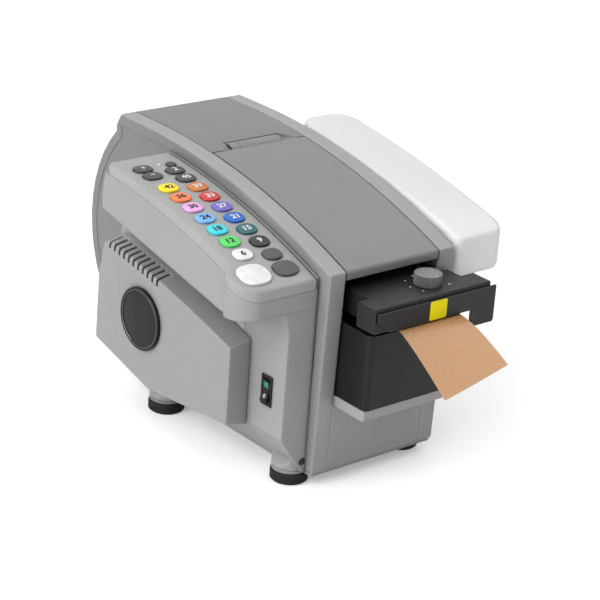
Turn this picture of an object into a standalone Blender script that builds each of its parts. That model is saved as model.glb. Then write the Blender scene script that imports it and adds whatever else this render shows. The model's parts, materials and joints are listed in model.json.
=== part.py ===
"""Electric gummed tape dispenser with a keypad, modelled as separate pieces.

Metres, +Z up. The tape leaves toward -Y and the keypad wing is on the -X side.
While modelling, X = 0 and Y = 0 are at the centre of the front left foot. An empty then
moves every piece so that the origin is the centre of the bottom of the whole object.
"""
import math

import bmesh
import bpy
from mathutils import Matrix, Vector

# Clearances and cutting
FIT = 0.0003
RUN_FIT = 0.0004
OVERRUN = 0.004

# Feet
FOOT_RADIUS = 0.0185
FOOT_HEIGHT = 0.0115
FOOT_TAPER = 0.0015
FOOT_GROOVE = 0.001
FOOT_SPAN_X = 0.140
FOOT_SPAN_Y = 0.184
FOOT_SPREAD = 0.011

# Base plate
PLATE_Z = FOOT_HEIGHT + FIT
PLATE_THICK = 0.003
PLATE_MARGIN = 0.0015
PAD_RADIUS = 0.0175

# Main body, two side shells with lids between them
BODY_LEFT = 0.0013
BODY_WIDTH = 0.1545
LEFT_RIM = 0.0187
RIGHT_RIM = 0.0198
WALL = 0.003
SHELL_Z = PLATE_Z + PLATE_THICK + FIT
BODY_FRONT = -0.030
FRONT_LEAN = 0.007
TOP_Z = 0.275
TOP_RADIUS = 0.8
TOP_FLAT_Y = 0.262
REAR_CORNER_Y = 0.301
REAR_CORNER_RUN = 0.007
REAR_CORNER_DROP = 0.012
BASKET_Y = 0.2058
BASKET_RADIUS = 0.1422
BASKET_Z = SHELL_Z + BASKET_RADIUS
EDGE_ROUND = 0.003
RECESS_INSET = 0.0112
RECESS_DEPTH = 0.0005
BOSS_WALL = 0.003

# Front panel and the shelf that carries the water tank
SHELF_Z = 0.0835
SHELF_THICK = 0.0102
SHELF_FRONT = -0.075
SHELF_REAR = -0.014
SHELF_ROUND = 0.003
PANEL_THICK = 0.003

# Tape basket
BASKET_FRONT = 0.104
BASKET_FRONT_Z = 0.150
CRADLE_HALF_SPAN = 0.035
CRADLE_WIDTH = 0.008

# Tape and roll
TAPE_WIDTH = 0.076
TAPE_LEFT = 0.049
TAPE_THICK = 0.0003
TAPE_Z = 0.1715
TAPE_BEND_Y = 0.062
ROLL_RADIUS = 0.095
ROLL_BORE = 0.019
ROLL_FLOOR_GAP = 0.004
TONGUE_EXIT_Y = -0.080
TONGUE_RUN = 0.068
TONGUE_DROP_LEFT = 0.043
TONGUE_DROP_RIGHT = 0.0255
TONGUE_CURVE_LEFT_share = 1.2
TONGUE_CURVE_RIGHT_share = 1.5

# Feed drive
FRAME_LEFT = 0.024
FRAME_RIGHT = 0.132
FRAME_SHEET = 0.002
FRAME_FRONT = -0.0136
FRAME_REAR = 0.098
FRAME_TOP = 0.196
FRAME_CHAMFER = 0.020
FEED_Y = 0.045
FEED_RADIUS = 0.016
FEED_SHAFT = 0.003
FEED_OVERHANG = 0.002
PRESS_RADIUS = 0.010
PRESS_SHAFT = 0.0025
GEAR_PITCH = 0.032
GEAR_TEETH = 40
PINION_TEETH = 14
TOOTH_UP = 0.0011
TOOTH_DOWN = 0.0018
TOOTH_BACKLASH = 0.0003
GEAR_X = 0.0135
GEAR_THICK = 0.005
GEAR_LINE_DEG = -50.0
GEAR_HOLE = 0.005
MOTOR_RADIUS = 0.022
MOTOR_LENGTH = 0.060
MOTOR_SHAFT = 0.002
MOTOR_BORE_DEPTH = 0.012
MOTOR_RIB = 0.0012

# Cutter
CUT_Y = 0.0068
BLADE_THICK = 0.0012
BLADE_TOP = 0.1698
BLADE_SHEAR = 0.004
BLADE_HEIGHT = 0.025
BLADE_STEM = 0.0035
BLADE_STEM_FOOT = 0.062
BLADE_GAP = 0.0003
FIXED_BLADE_THICK = 0.002
FIXED_BLADE_HEIGHT = 0.012
FIXED_BLADE_LIFT = 0.0006
SOLENOID_WIDTH = 0.036
SOLENOID_DEPTH = 0.028
SOLENOID_HEIGHT = 0.060
SOLENOID_BORE_DEPTH = 0.030

# Water tank and brushes
TANK_LEFT = 0.0215
TANK_RIGHT = 0.1345
TANK_TOP = 0.168
TANK_WALL = 0.0025
TANK_ROUND = 0.006
BRUSH_FRONT = -0.070
BRUSH_REAR = -0.042
BRUSH_SIDE_GAP = 0.010
BRUSH_BODY_TOP = 0.150
BRUSH_BACK = 0.004
BRUSH_SLOT = 0.006
BRISTLE_TOP = 0.1708
BRISTLE_COLUMNS = 40
BRISTLE_ROWS = 9
BRISTLE_LEAN = 0.0007

# Heater head over the brushes
HEAD_LEFT = 0.019
HEAD_RIGHT = 0.162
HEAD_FRONT = -0.080
HEAD_STEP_Y = -0.056
HEAD_MID_LEFT = 0.033
HEAD_MID_RIGHT = 0.146
HEAD_MID_REAR = -0.0375
NECK_RIGHT = 0.124
NECK_REAR = -0.003
HEAD_Z = 0.1732
HEAD_TOP = 0.1975
HEAD_WALL = 0.0025
HEAD_ROUND = 0.0015
HEAD_AXIS_Y = -0.008
HEAD_AXIS_Z = 0.186
TRUNNION = 0.003
FACE_THICK = 0.0025
FACE_LEFT = 0.021
FACE_RIGHT = 0.168
FACE_TOP = 0.193
FACE_TAB_GAP = 0.0025
FACE_TAB_Z = 0.156
FACE_CHAMFER = 0.011
FACE_CHAMFER_RUN = 0.015
HEATER_THICK = 0.004
HEATER_LIFT = 0.0006
HEATER_FRONT = -0.074
HEATER_REAR = -0.0395
KNOB_X = 0.1035
KNOB_Y = -0.056
KNOB_RADIUS = 0.0145
KNOB_HEIGHT = 0.0125
KNOB_RIDGES = 36
KNOB_RIDGE = 0.0008
KNOB_STEM = 0.003
KNOB_TOP_ROUND = 0.001

# Lid parts
LID_THICK = 0.003
LID_SIDE_GAP = 0.0009
LID_SEAM_Y = 0.1705
LID_SEAM_GAP = 0.0015
COVER_LIP_Z = 0.2095
COVER_NOSE = 0.004
COVER_SKIRT = 0.009
COVER_SKIRT_THICK = 0.002
CHANNEL_LEFT = 0.046
CHANNEL_RIGHT = 0.110
CHANNEL_REAR = 0.190
CHANNEL_DROP = 0.004
COVER_AXIS_Y = 0.181
COVER_AXIS_DROP = 0.0125
COVER_PIN = 0.003
KNUCKLE_WALL = 0.0025
KNUCKLE_LEFT = 0.060
KNUCKLE_RIGHT = 0.096
LID_AXIS_Y = 0.300
LID_AXIS_Z = 0.264
LID_TRUNNION = 0.0025
LID_LIP_Z = 0.2595
LID_LUG = 0.0042
RAMP_RUN = 0.022
RAMP_FADE_share = 0.05

# Control housing on the left: keypad wing, electronics core and skirt
WING_LEFT = -0.0745
WING_FRONT = -0.0215
WING_REAR_TOP = 0.213
WING_REAR_LOW = 0.222
WING_LOW_REAR_Z = 0.2165
WING_LOW_KNEE_Y = 0.024
WING_LOW_KNEE_Z = 0.1785
WING_LOW_FRONT_Z = 0.183
SWELL_X = -0.0615
SWELL_Y = 0.0005
SWELL_RADIUS = 0.0225
FLARE_DROP = 0.020
WING_REAR_ROUND = 0.008
CORE_LEFT = -0.0305
CORE_REAR = 0.246
CORE_SKIRT_Z = 0.055
CORE_SHOULDER_Z = 0.177
SKIRT_FOOT_X = -0.003
BAY_DEPTH = 0.020
BAY_MARGIN = 0.012
BOSS_TOP = 0.044
BOSS_SLOPE_DEG = 48.0
SEAM_RIB = 0.0022
SEAM_GAP = 0.0008

# Keypad
DECK_DROP = 0.011
BEZEL_THICK = 0.0095
BEZEL_WALL = 0.0025
BEZEL_FRONT = -0.022
BEZEL_REAR = 0.2125
KEY_LEFT_X = -0.0522
KEY_RIGHT_X = -0.0240
KEY_ROW_Y = 0.0253
KEY_PITCH = 0.0193
KEY_STAGGER = 0.0075
KEY_ROWS = 7
KEY_WIDTH = 0.0202
KEY_DEPTH = 0.0158
KEY_RISE = 0.0028
KEY_ROOT = 0.0034
KEY_CROWN = 0.0012
KEY_STEPS = 20
KEY_SQUARE_share = 0.85
KEY_FLAT_share = 0.72
KEY_SHOULDER_share = 0.92
SLIM_DEPTH = 0.0145
DOUBLE_STEP = 0.0175
SMALL_STEP = 0.0305
SMALL_INSET = 0.0045
SMALL_WIDTH = 0.0105
SMALL_DEPTH = 0.0095
MINUS_STEP = 0.0262
PLUS_STEP = 0.0425
START_X = -0.0593
START_Y = -0.0012
START_WIDTH = 0.0330
START_DEPTH = 0.0272
SELECT_X = -0.0240
SELECT_Y = -0.0022
SELECT_WIDTH = 0.0262
SELECT_DEPTH = 0.0202
LED_RADIUS = 0.0021
LED_X = -0.0300
LED_Y = 0.1880

# Side cover with its vents and round badge
COVER_LEFT = -0.056
COVER_WALL = 0.0025
COVER_DRAFT = 0.005
COVER_ROUND = 0.005
COVER_FRONT_Y = 0.031
COVER_FRONT_Z = 0.134
COVER_FRONT_LOW_Z = 0.056
COVER_KNEE_Y = 0.155
COVER_KNEE_Z = 0.042
COVER_TOP_Y = 0.228
COVER_TOP_Z = 0.173
COVER_TOP_BOW = 0.004
COVER_REAR_TOP_Y = 0.240
COVER_REAR_TOP_Z = 0.168
COVER_REAR_Y = 0.2475
COVER_REAR_Z = 0.132
COVER_REAR_LOW_Y = 0.2495
COVER_REAR_LOW_Z = 0.064
VENT_COUNT = 11
VENT_FIRST_Y = 0.148
VENT_PITCH = 0.0080
VENT_WIDTH = 0.0036
VENT_INNER_X = -0.040
VENT_DROP = 0.007
BADGE_Y = 0.1706
BADGE_Z = 0.1125
BADGE_RADIUS = 0.034
BADGE_THICK = 0.003
BADGE_RIM = 0.002

# Power switch
SWITCH_Y = 0.0036
SWITCH_Z = 0.097
SWITCH_WIDTH = 0.015
SWITCH_HEIGHT = 0.030
SWITCH_FLANGE = 0.0012
SWITCH_EDGE = 0.0018
SWITCH_BODY = 0.015
SWITCH_WALL = 0.0010
ROCKER_HALF_HEIGHT = 0.0108
ROCKER_PROUD = 0.0030
ROCKER_DISH = 0.0022
ROCKER_TILT_DEG = 7.0

# Mains inlet on the rear of the core
INLET_WIDTH = 0.024
INLET_HEIGHT = 0.024
INLET_THICK = 0.002
INLET_DEPTH = 0.010
INLET_WALL = 0.002
INLET_Z = 0.080
INLET_PIN = 0.0012

# Water bottle, cap and holder
BOTTLE_GAP = 0.0042
BOTTLE_WIDTH = 0.066
BOTTLE_FRONT = -0.035
BOTTLE_REAR = 0.216
BOTTLE_Z = 0.182
BOTTLE_ARC = 1.5
BOTTLE_APEX_Y = 0.376
BOTTLE_APEX_Z = 0.2815
BOTTLE_WALL = 0.002
BOTTLE_PLAN_ROUND = 0.022
BOTTLE_FRONT_ROUND = 0.009
BOTTLE_ROUND = 0.006
NECK_Y = 0.045
NECK_RADIUS = 0.0155
NECK_LENGTH = 0.012
CAP_WALL = 0.0025
CAP_LENGTH = 0.016
CAP_VALVE = 0.004
CAP_RIBS = 24
BOTTLE_SHELF_FRONT = 0.012
BOTTLE_SHELF_REAR = 0.200
BOTTLE_SHELF_INSET = 0.005
SHELF_TRAY = 0.0055
GUSSET_DROP = 0.045
CUP_GAP = 0.0010
CUP_WALL = 0.003
GUSSET = 0.003

# Places worked out from the sizes above
BODY_RIGHT = BODY_LEFT + BODY_WIDTH
BOTTLE_LEFT = BODY_RIGHT + BOTTLE_GAP
BOTTLE_RIGHT = BOTTLE_LEFT + BOTTLE_WIDTH
BOTTLE_SHELF_RIGHT = BOTTLE_RIGHT - BOTTLE_SHELF_INSET
NECK_X = (BOTTLE_LEFT + BOTTLE_RIGHT) / 2
OPEN_LEFT = BODY_LEFT + LEFT_RIM
OPEN_RIGHT = BODY_RIGHT - RIGHT_RIM
TAPE_RIGHT = TAPE_LEFT + TAPE_WIDTH
TANK_Z = SHELF_Z + SHELF_THICK + FIT
ROLL_Z = SHELL_Z + WALL + ROLL_FLOOR_GAP + ROLL_RADIUS
ROLL_X = (TAPE_LEFT + TAPE_RIGHT) / 2
FEED_Z = TAPE_Z - TAPE_THICK / 2 - FIT - FEED_RADIUS
PRESS_Z = TAPE_Z + TAPE_THICK / 2 + FIT + PRESS_RADIUS
PINION_PITCH = GEAR_PITCH * PINION_TEETH / GEAR_TEETH
GEAR_DISTANCE = GEAR_PITCH + PINION_PITCH + TOOTH_BACKLASH
MOTOR_Y = FEED_Y + GEAR_DISTANCE * math.cos(math.radians(GEAR_LINE_DEG))
MOTOR_Z = FEED_Z + GEAR_DISTANCE * math.sin(math.radians(GEAR_LINE_DEG))
PLATE_LEFT = FRAME_LEFT + FRAME_SHEET
PLATE_RIGHT = FRAME_RIGHT - FRAME_SHEET
BEZEL_RIGHT = BODY_LEFT - FIT - SEAM_RIB - SEAM_GAP
TONGUE_END_Y = TONGUE_EXIT_Y - TONGUE_RUN
WING_SIDE = SWELL_X - SWELL_RADIUS
CENTRE_X = (WING_SIDE + BOTTLE_RIGHT) / 2
CENTRE_Y = (TONGUE_END_Y + BASKET_Y + BASKET_RADIUS) / 2

FEET = {
    "front_left": (0.0, 0.0),
    "rear_left": (-FOOT_SPREAD, FOOT_SPAN_Y),
    "front_right": (FOOT_SPAN_X, 0.0),
    "rear_right": (FOOT_SPAN_X, FOOT_SPAN_Y),
}

# Turn from an outline's own plane to the plane across the given axis
TURNS = {
    "X": Matrix(((0, 0, 1), (1, 0, 0), (0, 1, 0))).to_4x4(),
    "Y": Matrix(((1, 0, 0), (0, 0, -1), (0, 1, 0))).to_4x4(),
    "Z": Matrix.Identity(4),
}
DIRECTIONS = {"X": Vector((1, 0, 0)), "Y": Vector((0, 1, 0)), "Z": Vector((0, 0, 1))}

# Finishes: colour, roughness, metallic
FINISHES = {
    "body_grey": ((0.33, 0.33, 0.335), 0.55, 0.0),
    "deck_grey": ((0.37, 0.37, 0.375), 0.5, 0.0),
    "black_moulding": ((0.02, 0.02, 0.021), 0.45, 0.0),
    "rubber_black": ((0.015, 0.015, 0.015), 0.8, 0.0),
    "kraft_paper": ((0.56, 0.33, 0.17), 0.85, 0.0),
    "clear_bottle": ((0.85, 0.86, 0.87), 0.35, 0.0),
    "zinc_sheet": ((0.55, 0.56, 0.57), 0.4, 1.0),
    "steel": ((0.6, 0.6, 0.61), 0.3, 1.0),
    "nylon": ((0.75, 0.74, 0.7), 0.5, 0.0),
    "lamp_red": ((0.6, 0.05, 0.03), 0.3, 0.0),
    "knob_grey": ((0.12, 0.12, 0.12), 0.55, 0.0),
    "bristle": ((0.05, 0.045, 0.04), 0.7, 0.0),
}

KEY_COLOURS = {
    "key_6": (0.85, 0.85, 0.84),
    "key_9": (0.035, 0.035, 0.04),
    "key_12": (0.12, 0.75, 0.15),
    "key_15": (0.03, 0.22, 0.25),
    "key_18": (0.03, 0.65, 0.8),
    "key_21": (0.01, 0.17, 0.62),
    "key_24": (0.2, 0.5, 0.85),
    "key_27": (0.22, 0.17, 0.6),
    "key_30": (0.85, 0.38, 0.75),
    "key_33": (0.75, 0.03, 0.03),
    "key_36": (0.9, 0.22, 0.08),
    "key_39": (0.8, 0.24, 0.05),
    "key_42": (0.95, 0.72, 0.02),
    "key_45": (0.09, 0.09, 0.09),
    "key_stop": (0.16, 0.16, 0.16),
    "key_start": (0.85, 0.85, 0.84),
    "key_select": (0.16, 0.16, 0.16),
    "key_minus": (0.09, 0.09, 0.09),
    "key_plus": (0.09, 0.09, 0.09),
    "key_double": (0.09, 0.09, 0.09),
    "key_small": (0.09, 0.09, 0.09),
}

parts = None
cutters = None
frame = None


def start_scene():
    """Empty the file and make the two collections and the empty that carries every piece."""
    global parts, cutters, frame
    for old in list(bpy.data.objects):
        bpy.data.objects.remove(old, do_unlink=True)
    parts = bpy.data.collections.new("tape_dispenser")
    cutters = bpy.data.collections.new("cutting_shapes")
    bpy.context.scene.collection.children.link(parts)
    bpy.context.scene.collection.children.link(cutters)
    frame = bpy.data.objects.new("bottom_centre", None)
    frame.location = (-CENTRE_X, -CENTRE_Y, 0.0)
    parts.objects.link(frame)


def clean(mesh):
    """Weld the mesh, join its flat faces and point them out."""
    bm = bmesh.new()
    bm.from_mesh(mesh)
    bmesh.ops.remove_doubles(bm, verts=bm.verts, dist=1e-6)
    bmesh.ops.dissolve_limit(bm, angle_limit=math.radians(0.05), verts=bm.verts, edges=bm.edges)
    bmesh.ops.recalc_face_normals(bm, faces=bm.faces)
    bm.to_mesh(mesh)
    bm.free()


def new_piece(name, mesh):
    """Add an object for the mesh under the common empty."""
    piece = bpy.data.objects.new(name, mesh)
    parts.objects.link(piece)
    piece.parent = frame
    return piece


def paint(piece, finish, colour=None):
    """Give the piece its own material."""
    base, roughness, metallic = FINISHES[finish]
    material = bpy.data.materials.new(piece.name + "_" + finish)
    material.use_nodes = True
    shader = material.node_tree.nodes["Principled BSDF"]
    shader.inputs["Base Color"].default_value = (*(colour or base), 1.0)
    shader.inputs["Roughness"].default_value = roughness
    shader.inputs["Metallic"].default_value = metallic
    piece.data.materials.clear()
    piece.data.materials.append(material)
    return piece


def smooth(piece, degrees=32.0):
    """Shade round faces smooth and keep the real edges."""
    piece.data.shade_smooth()
    piece.data.set_sharp_from_angle(angle=math.radians(degrees))
    return piece


def hide(piece):
    """Turn a piece into a cutting shape."""
    if piece.name in parts.objects:
        parts.objects.unlink(piece)
        cutters.objects.link(piece)
    piece.hide_render = True
    piece.display_type = "WIRE"


def boolean(piece, others, operation):
    for other in others:
        modifier = piece.modifiers.new(other.name, "BOOLEAN")
        modifier.operation = operation
        modifier.solver = "EXACT"
        modifier.object = other
        hide(other)
    return piece


def cut(piece, *others):
    return boolean(piece, others, "DIFFERENCE")


def fuse(piece, *others):
    return boolean(piece, others, "UNION")


def keep_inside(piece, *others):
    return boolean(piece, others, "INTERSECT")


def round_edges(piece, width, segments=2, degrees=50.0):
    """Round the edges that turn more than the given angle."""
    modifier = piece.modifiers.new("rounding", "BEVEL")
    modifier.width = width
    modifier.segments = segments
    modifier.limit_method = "ANGLE"
    modifier.angle_limit = math.radians(degrees)
    return piece


def bake(piece):
    """Replace the piece's mesh by what its modifiers give."""
    bpy.context.view_layer.update()
    depsgraph = bpy.context.evaluated_depsgraph_get()
    mesh = bpy.data.meshes.new_from_object(piece.evaluated_get(depsgraph))
    piece.modifiers.clear()
    piece.data = mesh
    return piece


def prism(name, outline, axis, low, high):
    """A flat outline given thickness along one axis, from low to high."""
    curve = bpy.data.curves.new(name, "CURVE")
    curve.dimensions = "2D"
    curve.fill_mode = "BOTH"
    curve.extrude = (high - low) / 2
    spline = curve.splines.new("POLY")
    spline.points.add(len(outline) - 1)
    for point, (across, up) in zip(spline.points, outline):
        point.co = (across, up, 0.0, 1.0)
    spline.use_cyclic_u = True
    guide = bpy.data.objects.new(name + "_outline", curve)
    bpy.context.scene.collection.objects.link(guide)
    guide.matrix_world = Matrix.Translation(DIRECTIONS[axis] * (low + high) / 2) @ TURNS[axis]
    bpy.context.view_layer.update()
    depsgraph = bpy.context.evaluated_depsgraph_get()
    mesh = bpy.data.meshes.new_from_object(guide.evaluated_get(depsgraph))
    mesh.transform(guide.matrix_world)
    bpy.data.objects.remove(guide)
    bpy.data.curves.remove(curve)
    clean(mesh)
    return new_piece(name, mesh)


def box(name, low, high):
    mesh = bpy.data.meshes.new(name)
    bm = bmesh.new()
    bmesh.ops.create_cube(bm, size=1.0)
    size = Vector(high) - Vector(low)
    bmesh.ops.scale(bm, vec=size, verts=bm.verts)
    bmesh.ops.translate(bm, vec=Vector(low) + size / 2, verts=bm.verts)
    bm.to_mesh(mesh)
    bm.free()
    return new_piece(name, mesh)


def turned(name, profile, axis, centre, steps=32):
    """A turned solid: profile pairs are radius and place along the axis, top end first."""
    mesh = bpy.data.meshes.new(name)
    points = [(radius, 0.0, place) for radius, place in profile]
    edges = [(index, index + 1) for index in range(len(points) - 1)]
    mesh.from_pydata(points, edges, [])
    piece = new_piece(name, mesh)
    screw = piece.modifiers.new("turning", "SCREW")
    screw.axis = "Z"
    screw.angle = math.tau
    screw.steps = steps
    screw.render_steps = steps
    screw.use_merge_vertices = True
    screw.merge_threshold = 1e-6
    bake(piece)
    turn = TURNS["X"] if axis == "X" else Matrix.Identity(4)
    if axis == "Y":
        turn = Matrix.Rotation(math.radians(-90.0), 4, "X")
    piece.data.transform(Matrix.Translation(centre) @ turn)
    clean(piece.data)
    return piece


def rod(name, axis, centre, radius, low, high, steps=24):
    """A plain cylinder between two places along an axis."""
    return turned(name, [(0.0, high), (radius, high), (radius, low), (0.0, low)], axis, centre, steps)


def set_origin(piece, point):
    """Move the object's origin, as on a joint's axis, and leave its shape in place."""
    shift = Vector(point) - piece.location
    piece.data.transform(Matrix.Translation(-shift))
    piece.location = Vector(point)
    return piece


def arc(centre, radius, start_deg, end_deg, count):
    """Points on an arc in an outline's plane."""
    points = []
    for index in range(count + 1):
        angle = math.radians(start_deg + (end_deg - start_deg) * index / count)
        points.append((centre[0] + radius * math.cos(angle), centre[1] + radius * math.sin(angle)))
    return points


def bowed(start, end, rise, count):
    """Points on a shallow bow between two points, without the two ends."""
    points = []
    for index in range(1, count):
        share = index / count
        lift = 4 * rise * share * (1 - share)
        across = start[0] + (end[0] - start[0]) * share
        points.append((across, start[1] + (end[1] - start[1]) * share + lift))
    return points


def rounded(outline, radii, steps=4):
    """The outline with each corner rounded by its own radius, zero for a sharp one."""
    points = []
    count = len(outline)
    for index, corner in enumerate(outline):
        here = Vector(corner)
        before = Vector(outline[index - 1]) - here
        after = Vector(outline[(index + 1) % count]) - here
        radius = radii[index]
        if radius == 0:
            points.append(tuple(here))
            continue
        half = before.angle(after) / 2
        reach = radius / math.tan(half)
        first = here + before.normalized() * reach
        last = here + after.normalized() * reach
        middle = here + (before.normalized() + after.normalized()).normalized() * radius / math.sin(half)
        start = math.atan2(*(first - middle).yx)
        sweep = math.atan2(*(last - middle).yx) - start
        sweep = (sweep + math.pi) % math.tau - math.pi
        for step in range(steps + 1):
            angle = start + sweep * step / steps
            points.append((middle.x + radius * math.cos(angle), middle.y + radius * math.sin(angle)))
    return points


def inset_outline(outline, distance):
    """The outline drawn in by a distance, for a wall of even thickness."""
    count = len(outline)
    area = sum(
        outline[i][0] * outline[(i + 1) % count][1] - outline[(i + 1) % count][0] * outline[i][1]
        for i in range(count)
    )
    side = distance if area > 0 else -distance
    points = []
    for index, corner in enumerate(outline):
        here = Vector(corner)
        into = (here - Vector(outline[index - 1])).normalized()
        out = (Vector(outline[(index + 1) % count]) - here).normalized()
        normal = Vector((-into.y - out.y, into.x + out.x)).normalized()
        share = max(normal.dot(Vector((-into.y, into.x))), 0.2)
        points.append(tuple(here + normal * side / share))
    return points


def top_height(y, inset=0.0):
    """Height of the lid's long arc at a place along the body, drawn in by an inset."""
    if y >= TOP_FLAT_Y:
        return TOP_Z - inset
    radius = TOP_RADIUS - inset
    return TOP_Z - TOP_RADIUS + math.sqrt(radius ** 2 - (TOP_FLAT_Y - y) ** 2)


def top_slope(y):
    """Angle by which the lid's arc falls toward the front."""
    return math.asin(max(TOP_FLAT_Y - y, 0.0) / TOP_RADIUS)


def front_y(z, inset=0.0):
    """The leaning front face."""
    return BODY_FRONT - FRONT_LEAN * (z - SHELL_Z) / (TOP_Z - SHELL_Z) + inset


def top_arc(start_y, end_y, inset, count):
    """Points along the lid's arc from one place to another."""
    points = []
    for index in range(count + 1):
        y = start_y + (end_y - start_y) * index / count
        points.append((y, top_height(y, inset)))
    return points


def arc_slab(name, low_y, high_y, top_inset, bottom_inset, low_x, high_x, count=10):
    """A slab whose top and bottom follow the lid's arc."""
    upper = top_arc(low_y, high_y, top_inset, count)
    lower = top_arc(high_y, low_y, bottom_inset, count)
    return prism(name, upper + lower, "X", low_x, high_x)


def body_outline(inset=0.0):
    """Side view of the main body: leaning front, long arc, round basket, flat bottom."""
    nose_y = front_y(top_height(BODY_FRONT), inset)
    points = [(front_y(SHELL_Z, inset), SHELL_Z + inset)]
    points += top_arc(nose_y, TOP_FLAT_Y, inset, 12)
    points.append((REAR_CORNER_Y, TOP_Z - inset))
    rear_y = REAR_CORNER_Y + REAR_CORNER_RUN - inset
    points.append((rear_y, TOP_Z - REAR_CORNER_DROP))
    radius = BASKET_RADIUS - inset
    start = math.degrees(math.acos((rear_y - BASKET_Y) / radius))
    points += arc((BASKET_Y, BASKET_Z), radius, start, -90.0, 18)
    return points


def side_shell(name, outer_x, inner_x):
    """One moulded side of the body: a wall with a deep rim, open toward the middle."""
    inward = 1 if inner_x > outer_x else -1
    shell = prism(name, body_outline(), "X", min(outer_x, inner_x), max(outer_x, inner_x))
    bm = bmesh.new()
    bm.from_mesh(shell.data)
    rim = [e for e in bm.edges if all(abs(v.co.x - outer_x) < FIT for v in e.verts)]
    bmesh.ops.bevel(bm, geom=rim, offset=EDGE_ROUND, segments=2, profile=0.5, affect="EDGES")
    bm.to_mesh(shell.data)
    bm.free()
    span = sorted((outer_x + inward * WALL, inner_x + inward * OVERRUN))
    cavity = prism(name + "_cavity", body_outline(WALL), "X", *span)
    return cut(shell, cavity)


def pin_bosses(shell, name, wall_x, end_x):
    """Bosses inside a side shell for the cover's pin and the lid's trunnion."""
    span = sorted((wall_x, end_x))
    blind = sorted((wall_x, end_x + (end_x - wall_x)))
    cover_axis = (0.0, COVER_AXIS_Y, top_height(COVER_AXIS_Y) - COVER_AXIS_DROP)
    lid_axis = (0.0, LID_AXIS_Y, LID_AXIS_Z)
    for label, centre, radius in (("cover", cover_axis, COVER_PIN), ("lid", lid_axis, LID_TRUNNION)):
        boss = rod(name + "_boss_" + label, "X", centre, radius + BOSS_WALL, *span, steps=16)
        fuse(shell, boss)
        hole = rod(name + "_hole_" + label, "X", centre, radius + FIT, *blind, steps=16)
        cut(shell, hole)


def left_body_shell():
    shell = side_shell("left_body_shell", BODY_LEFT, OPEN_LEFT)
    recess = prism(
        "left_recess", body_outline(RECESS_INSET), "X", BODY_LEFT - OVERRUN, BODY_LEFT + RECESS_DEPTH
    )
    cut(shell, recess)
    pin_bosses(shell, "left", BODY_LEFT + WALL - FIT, OPEN_LEFT - FIT)
    return paint(smooth(shell), "body_grey")


def right_body_shell():
    shell = side_shell("right_body_shell", BODY_RIGHT, OPEN_RIGHT)
    pin_bosses(shell, "right", BODY_RIGHT - WALL + FIT, OPEN_RIGHT + FIT)
    bottle_shelf(shell)
    return paint(smooth(shell), "body_grey")


def bottle_shelf(shell):
    """Shelf on the right side with two gussets and a cup that takes the bottle's cap."""
    left = BODY_RIGHT - EDGE_ROUND / 2
    top = BOTTLE_Z - FIT
    tray_z = top - SHELF_TRAY
    tray = box("shelf_tray", (left, BOTTLE_SHELF_FRONT, tray_z), (BOTTLE_SHELF_RIGHT, BOTTLE_SHELF_REAR, top))
    cup_outer = NECK_RADIUS + FIT + CAP_WALL + CUP_GAP + CUP_WALL
    cup_floor = BOTTLE_Z - NECK_LENGTH - CAP_WALL - CAP_VALVE / 2 - FIT * 3
    neck_at = (NECK_X, NECK_Y, 0.0)
    cup = rod("shelf_cup", "Z", neck_at, cup_outer, cup_floor - CUP_WALL, tray_z + SHELF_TRAY / 2, 28)
    fuse(tray, cup)
    for y in (BOTTLE_SHELF_FRONT + GUSSET, BOTTLE_SHELF_REAR - GUSSET * 2):
        outline = [
            (left, tray_z - GUSSET_DROP),
            (left, tray_z + SHELF_TRAY / 2),
            (BOTTLE_SHELF_RIGHT - GUSSET, tray_z + SHELF_TRAY / 2),
            (BOTTLE_SHELF_RIGHT - GUSSET, tray_z - GUSSET),
        ]
        fuse(tray, prism("shelf_gusset", outline, "Y", y, y + GUSSET))
    well = rod("shelf_well", "Z", neck_at, cup_outer - CUP_WALL, cup_floor, top + OVERRUN, 28)
    cut(tray, well)
    return fuse(shell, bake(tray))


def base_plate():
    """Bottom plate that joins both shells, with a round pad over each foot."""
    left = BODY_LEFT + PLATE_MARGIN
    right = BODY_RIGHT - PLATE_MARGIN
    front = BODY_FRONT + PLATE_MARGIN
    outline = [(left, front), (right, front), (right, BASKET_Y), (left, BASKET_Y)]
    outline = rounded(outline, [PLATE_MARGIN * 2] * 4, 2)
    plate = prism("base_plate", outline, "Z", PLATE_Z, PLATE_Z + PLATE_THICK)
    for label, (x, y) in FEET.items():
        pad = rod("pad_" + label, "Z", (x, y, 0.0), PAD_RADIUS, PLATE_Z, PLATE_Z + PLATE_THICK)
        fuse(plate, pad)
    return paint(plate, "body_grey")


def rubber_feet():
    """Four turned rubber feet with a sunk middle."""
    profile = [
        (0.0, FOOT_HEIGHT),
        (FOOT_RADIUS - FOOT_TAPER, FOOT_HEIGHT),
        (FOOT_RADIUS, FOOT_HEIGHT - FOOT_TAPER),
        (FOOT_RADIUS, FOOT_TAPER),
        (FOOT_RADIUS - FOOT_TAPER, 0.0),
        (FOOT_RADIUS / 3, 0.0),
        (FOOT_RADIUS / 3, FOOT_GROOVE),
        (0.0, FOOT_GROOVE),
    ]
    for label, (x, y) in FEET.items():
        foot = turned("foot_" + label, profile, "Z", (x, y, 0.0), 20)
        paint(smooth(foot), "rubber_black")


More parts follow.
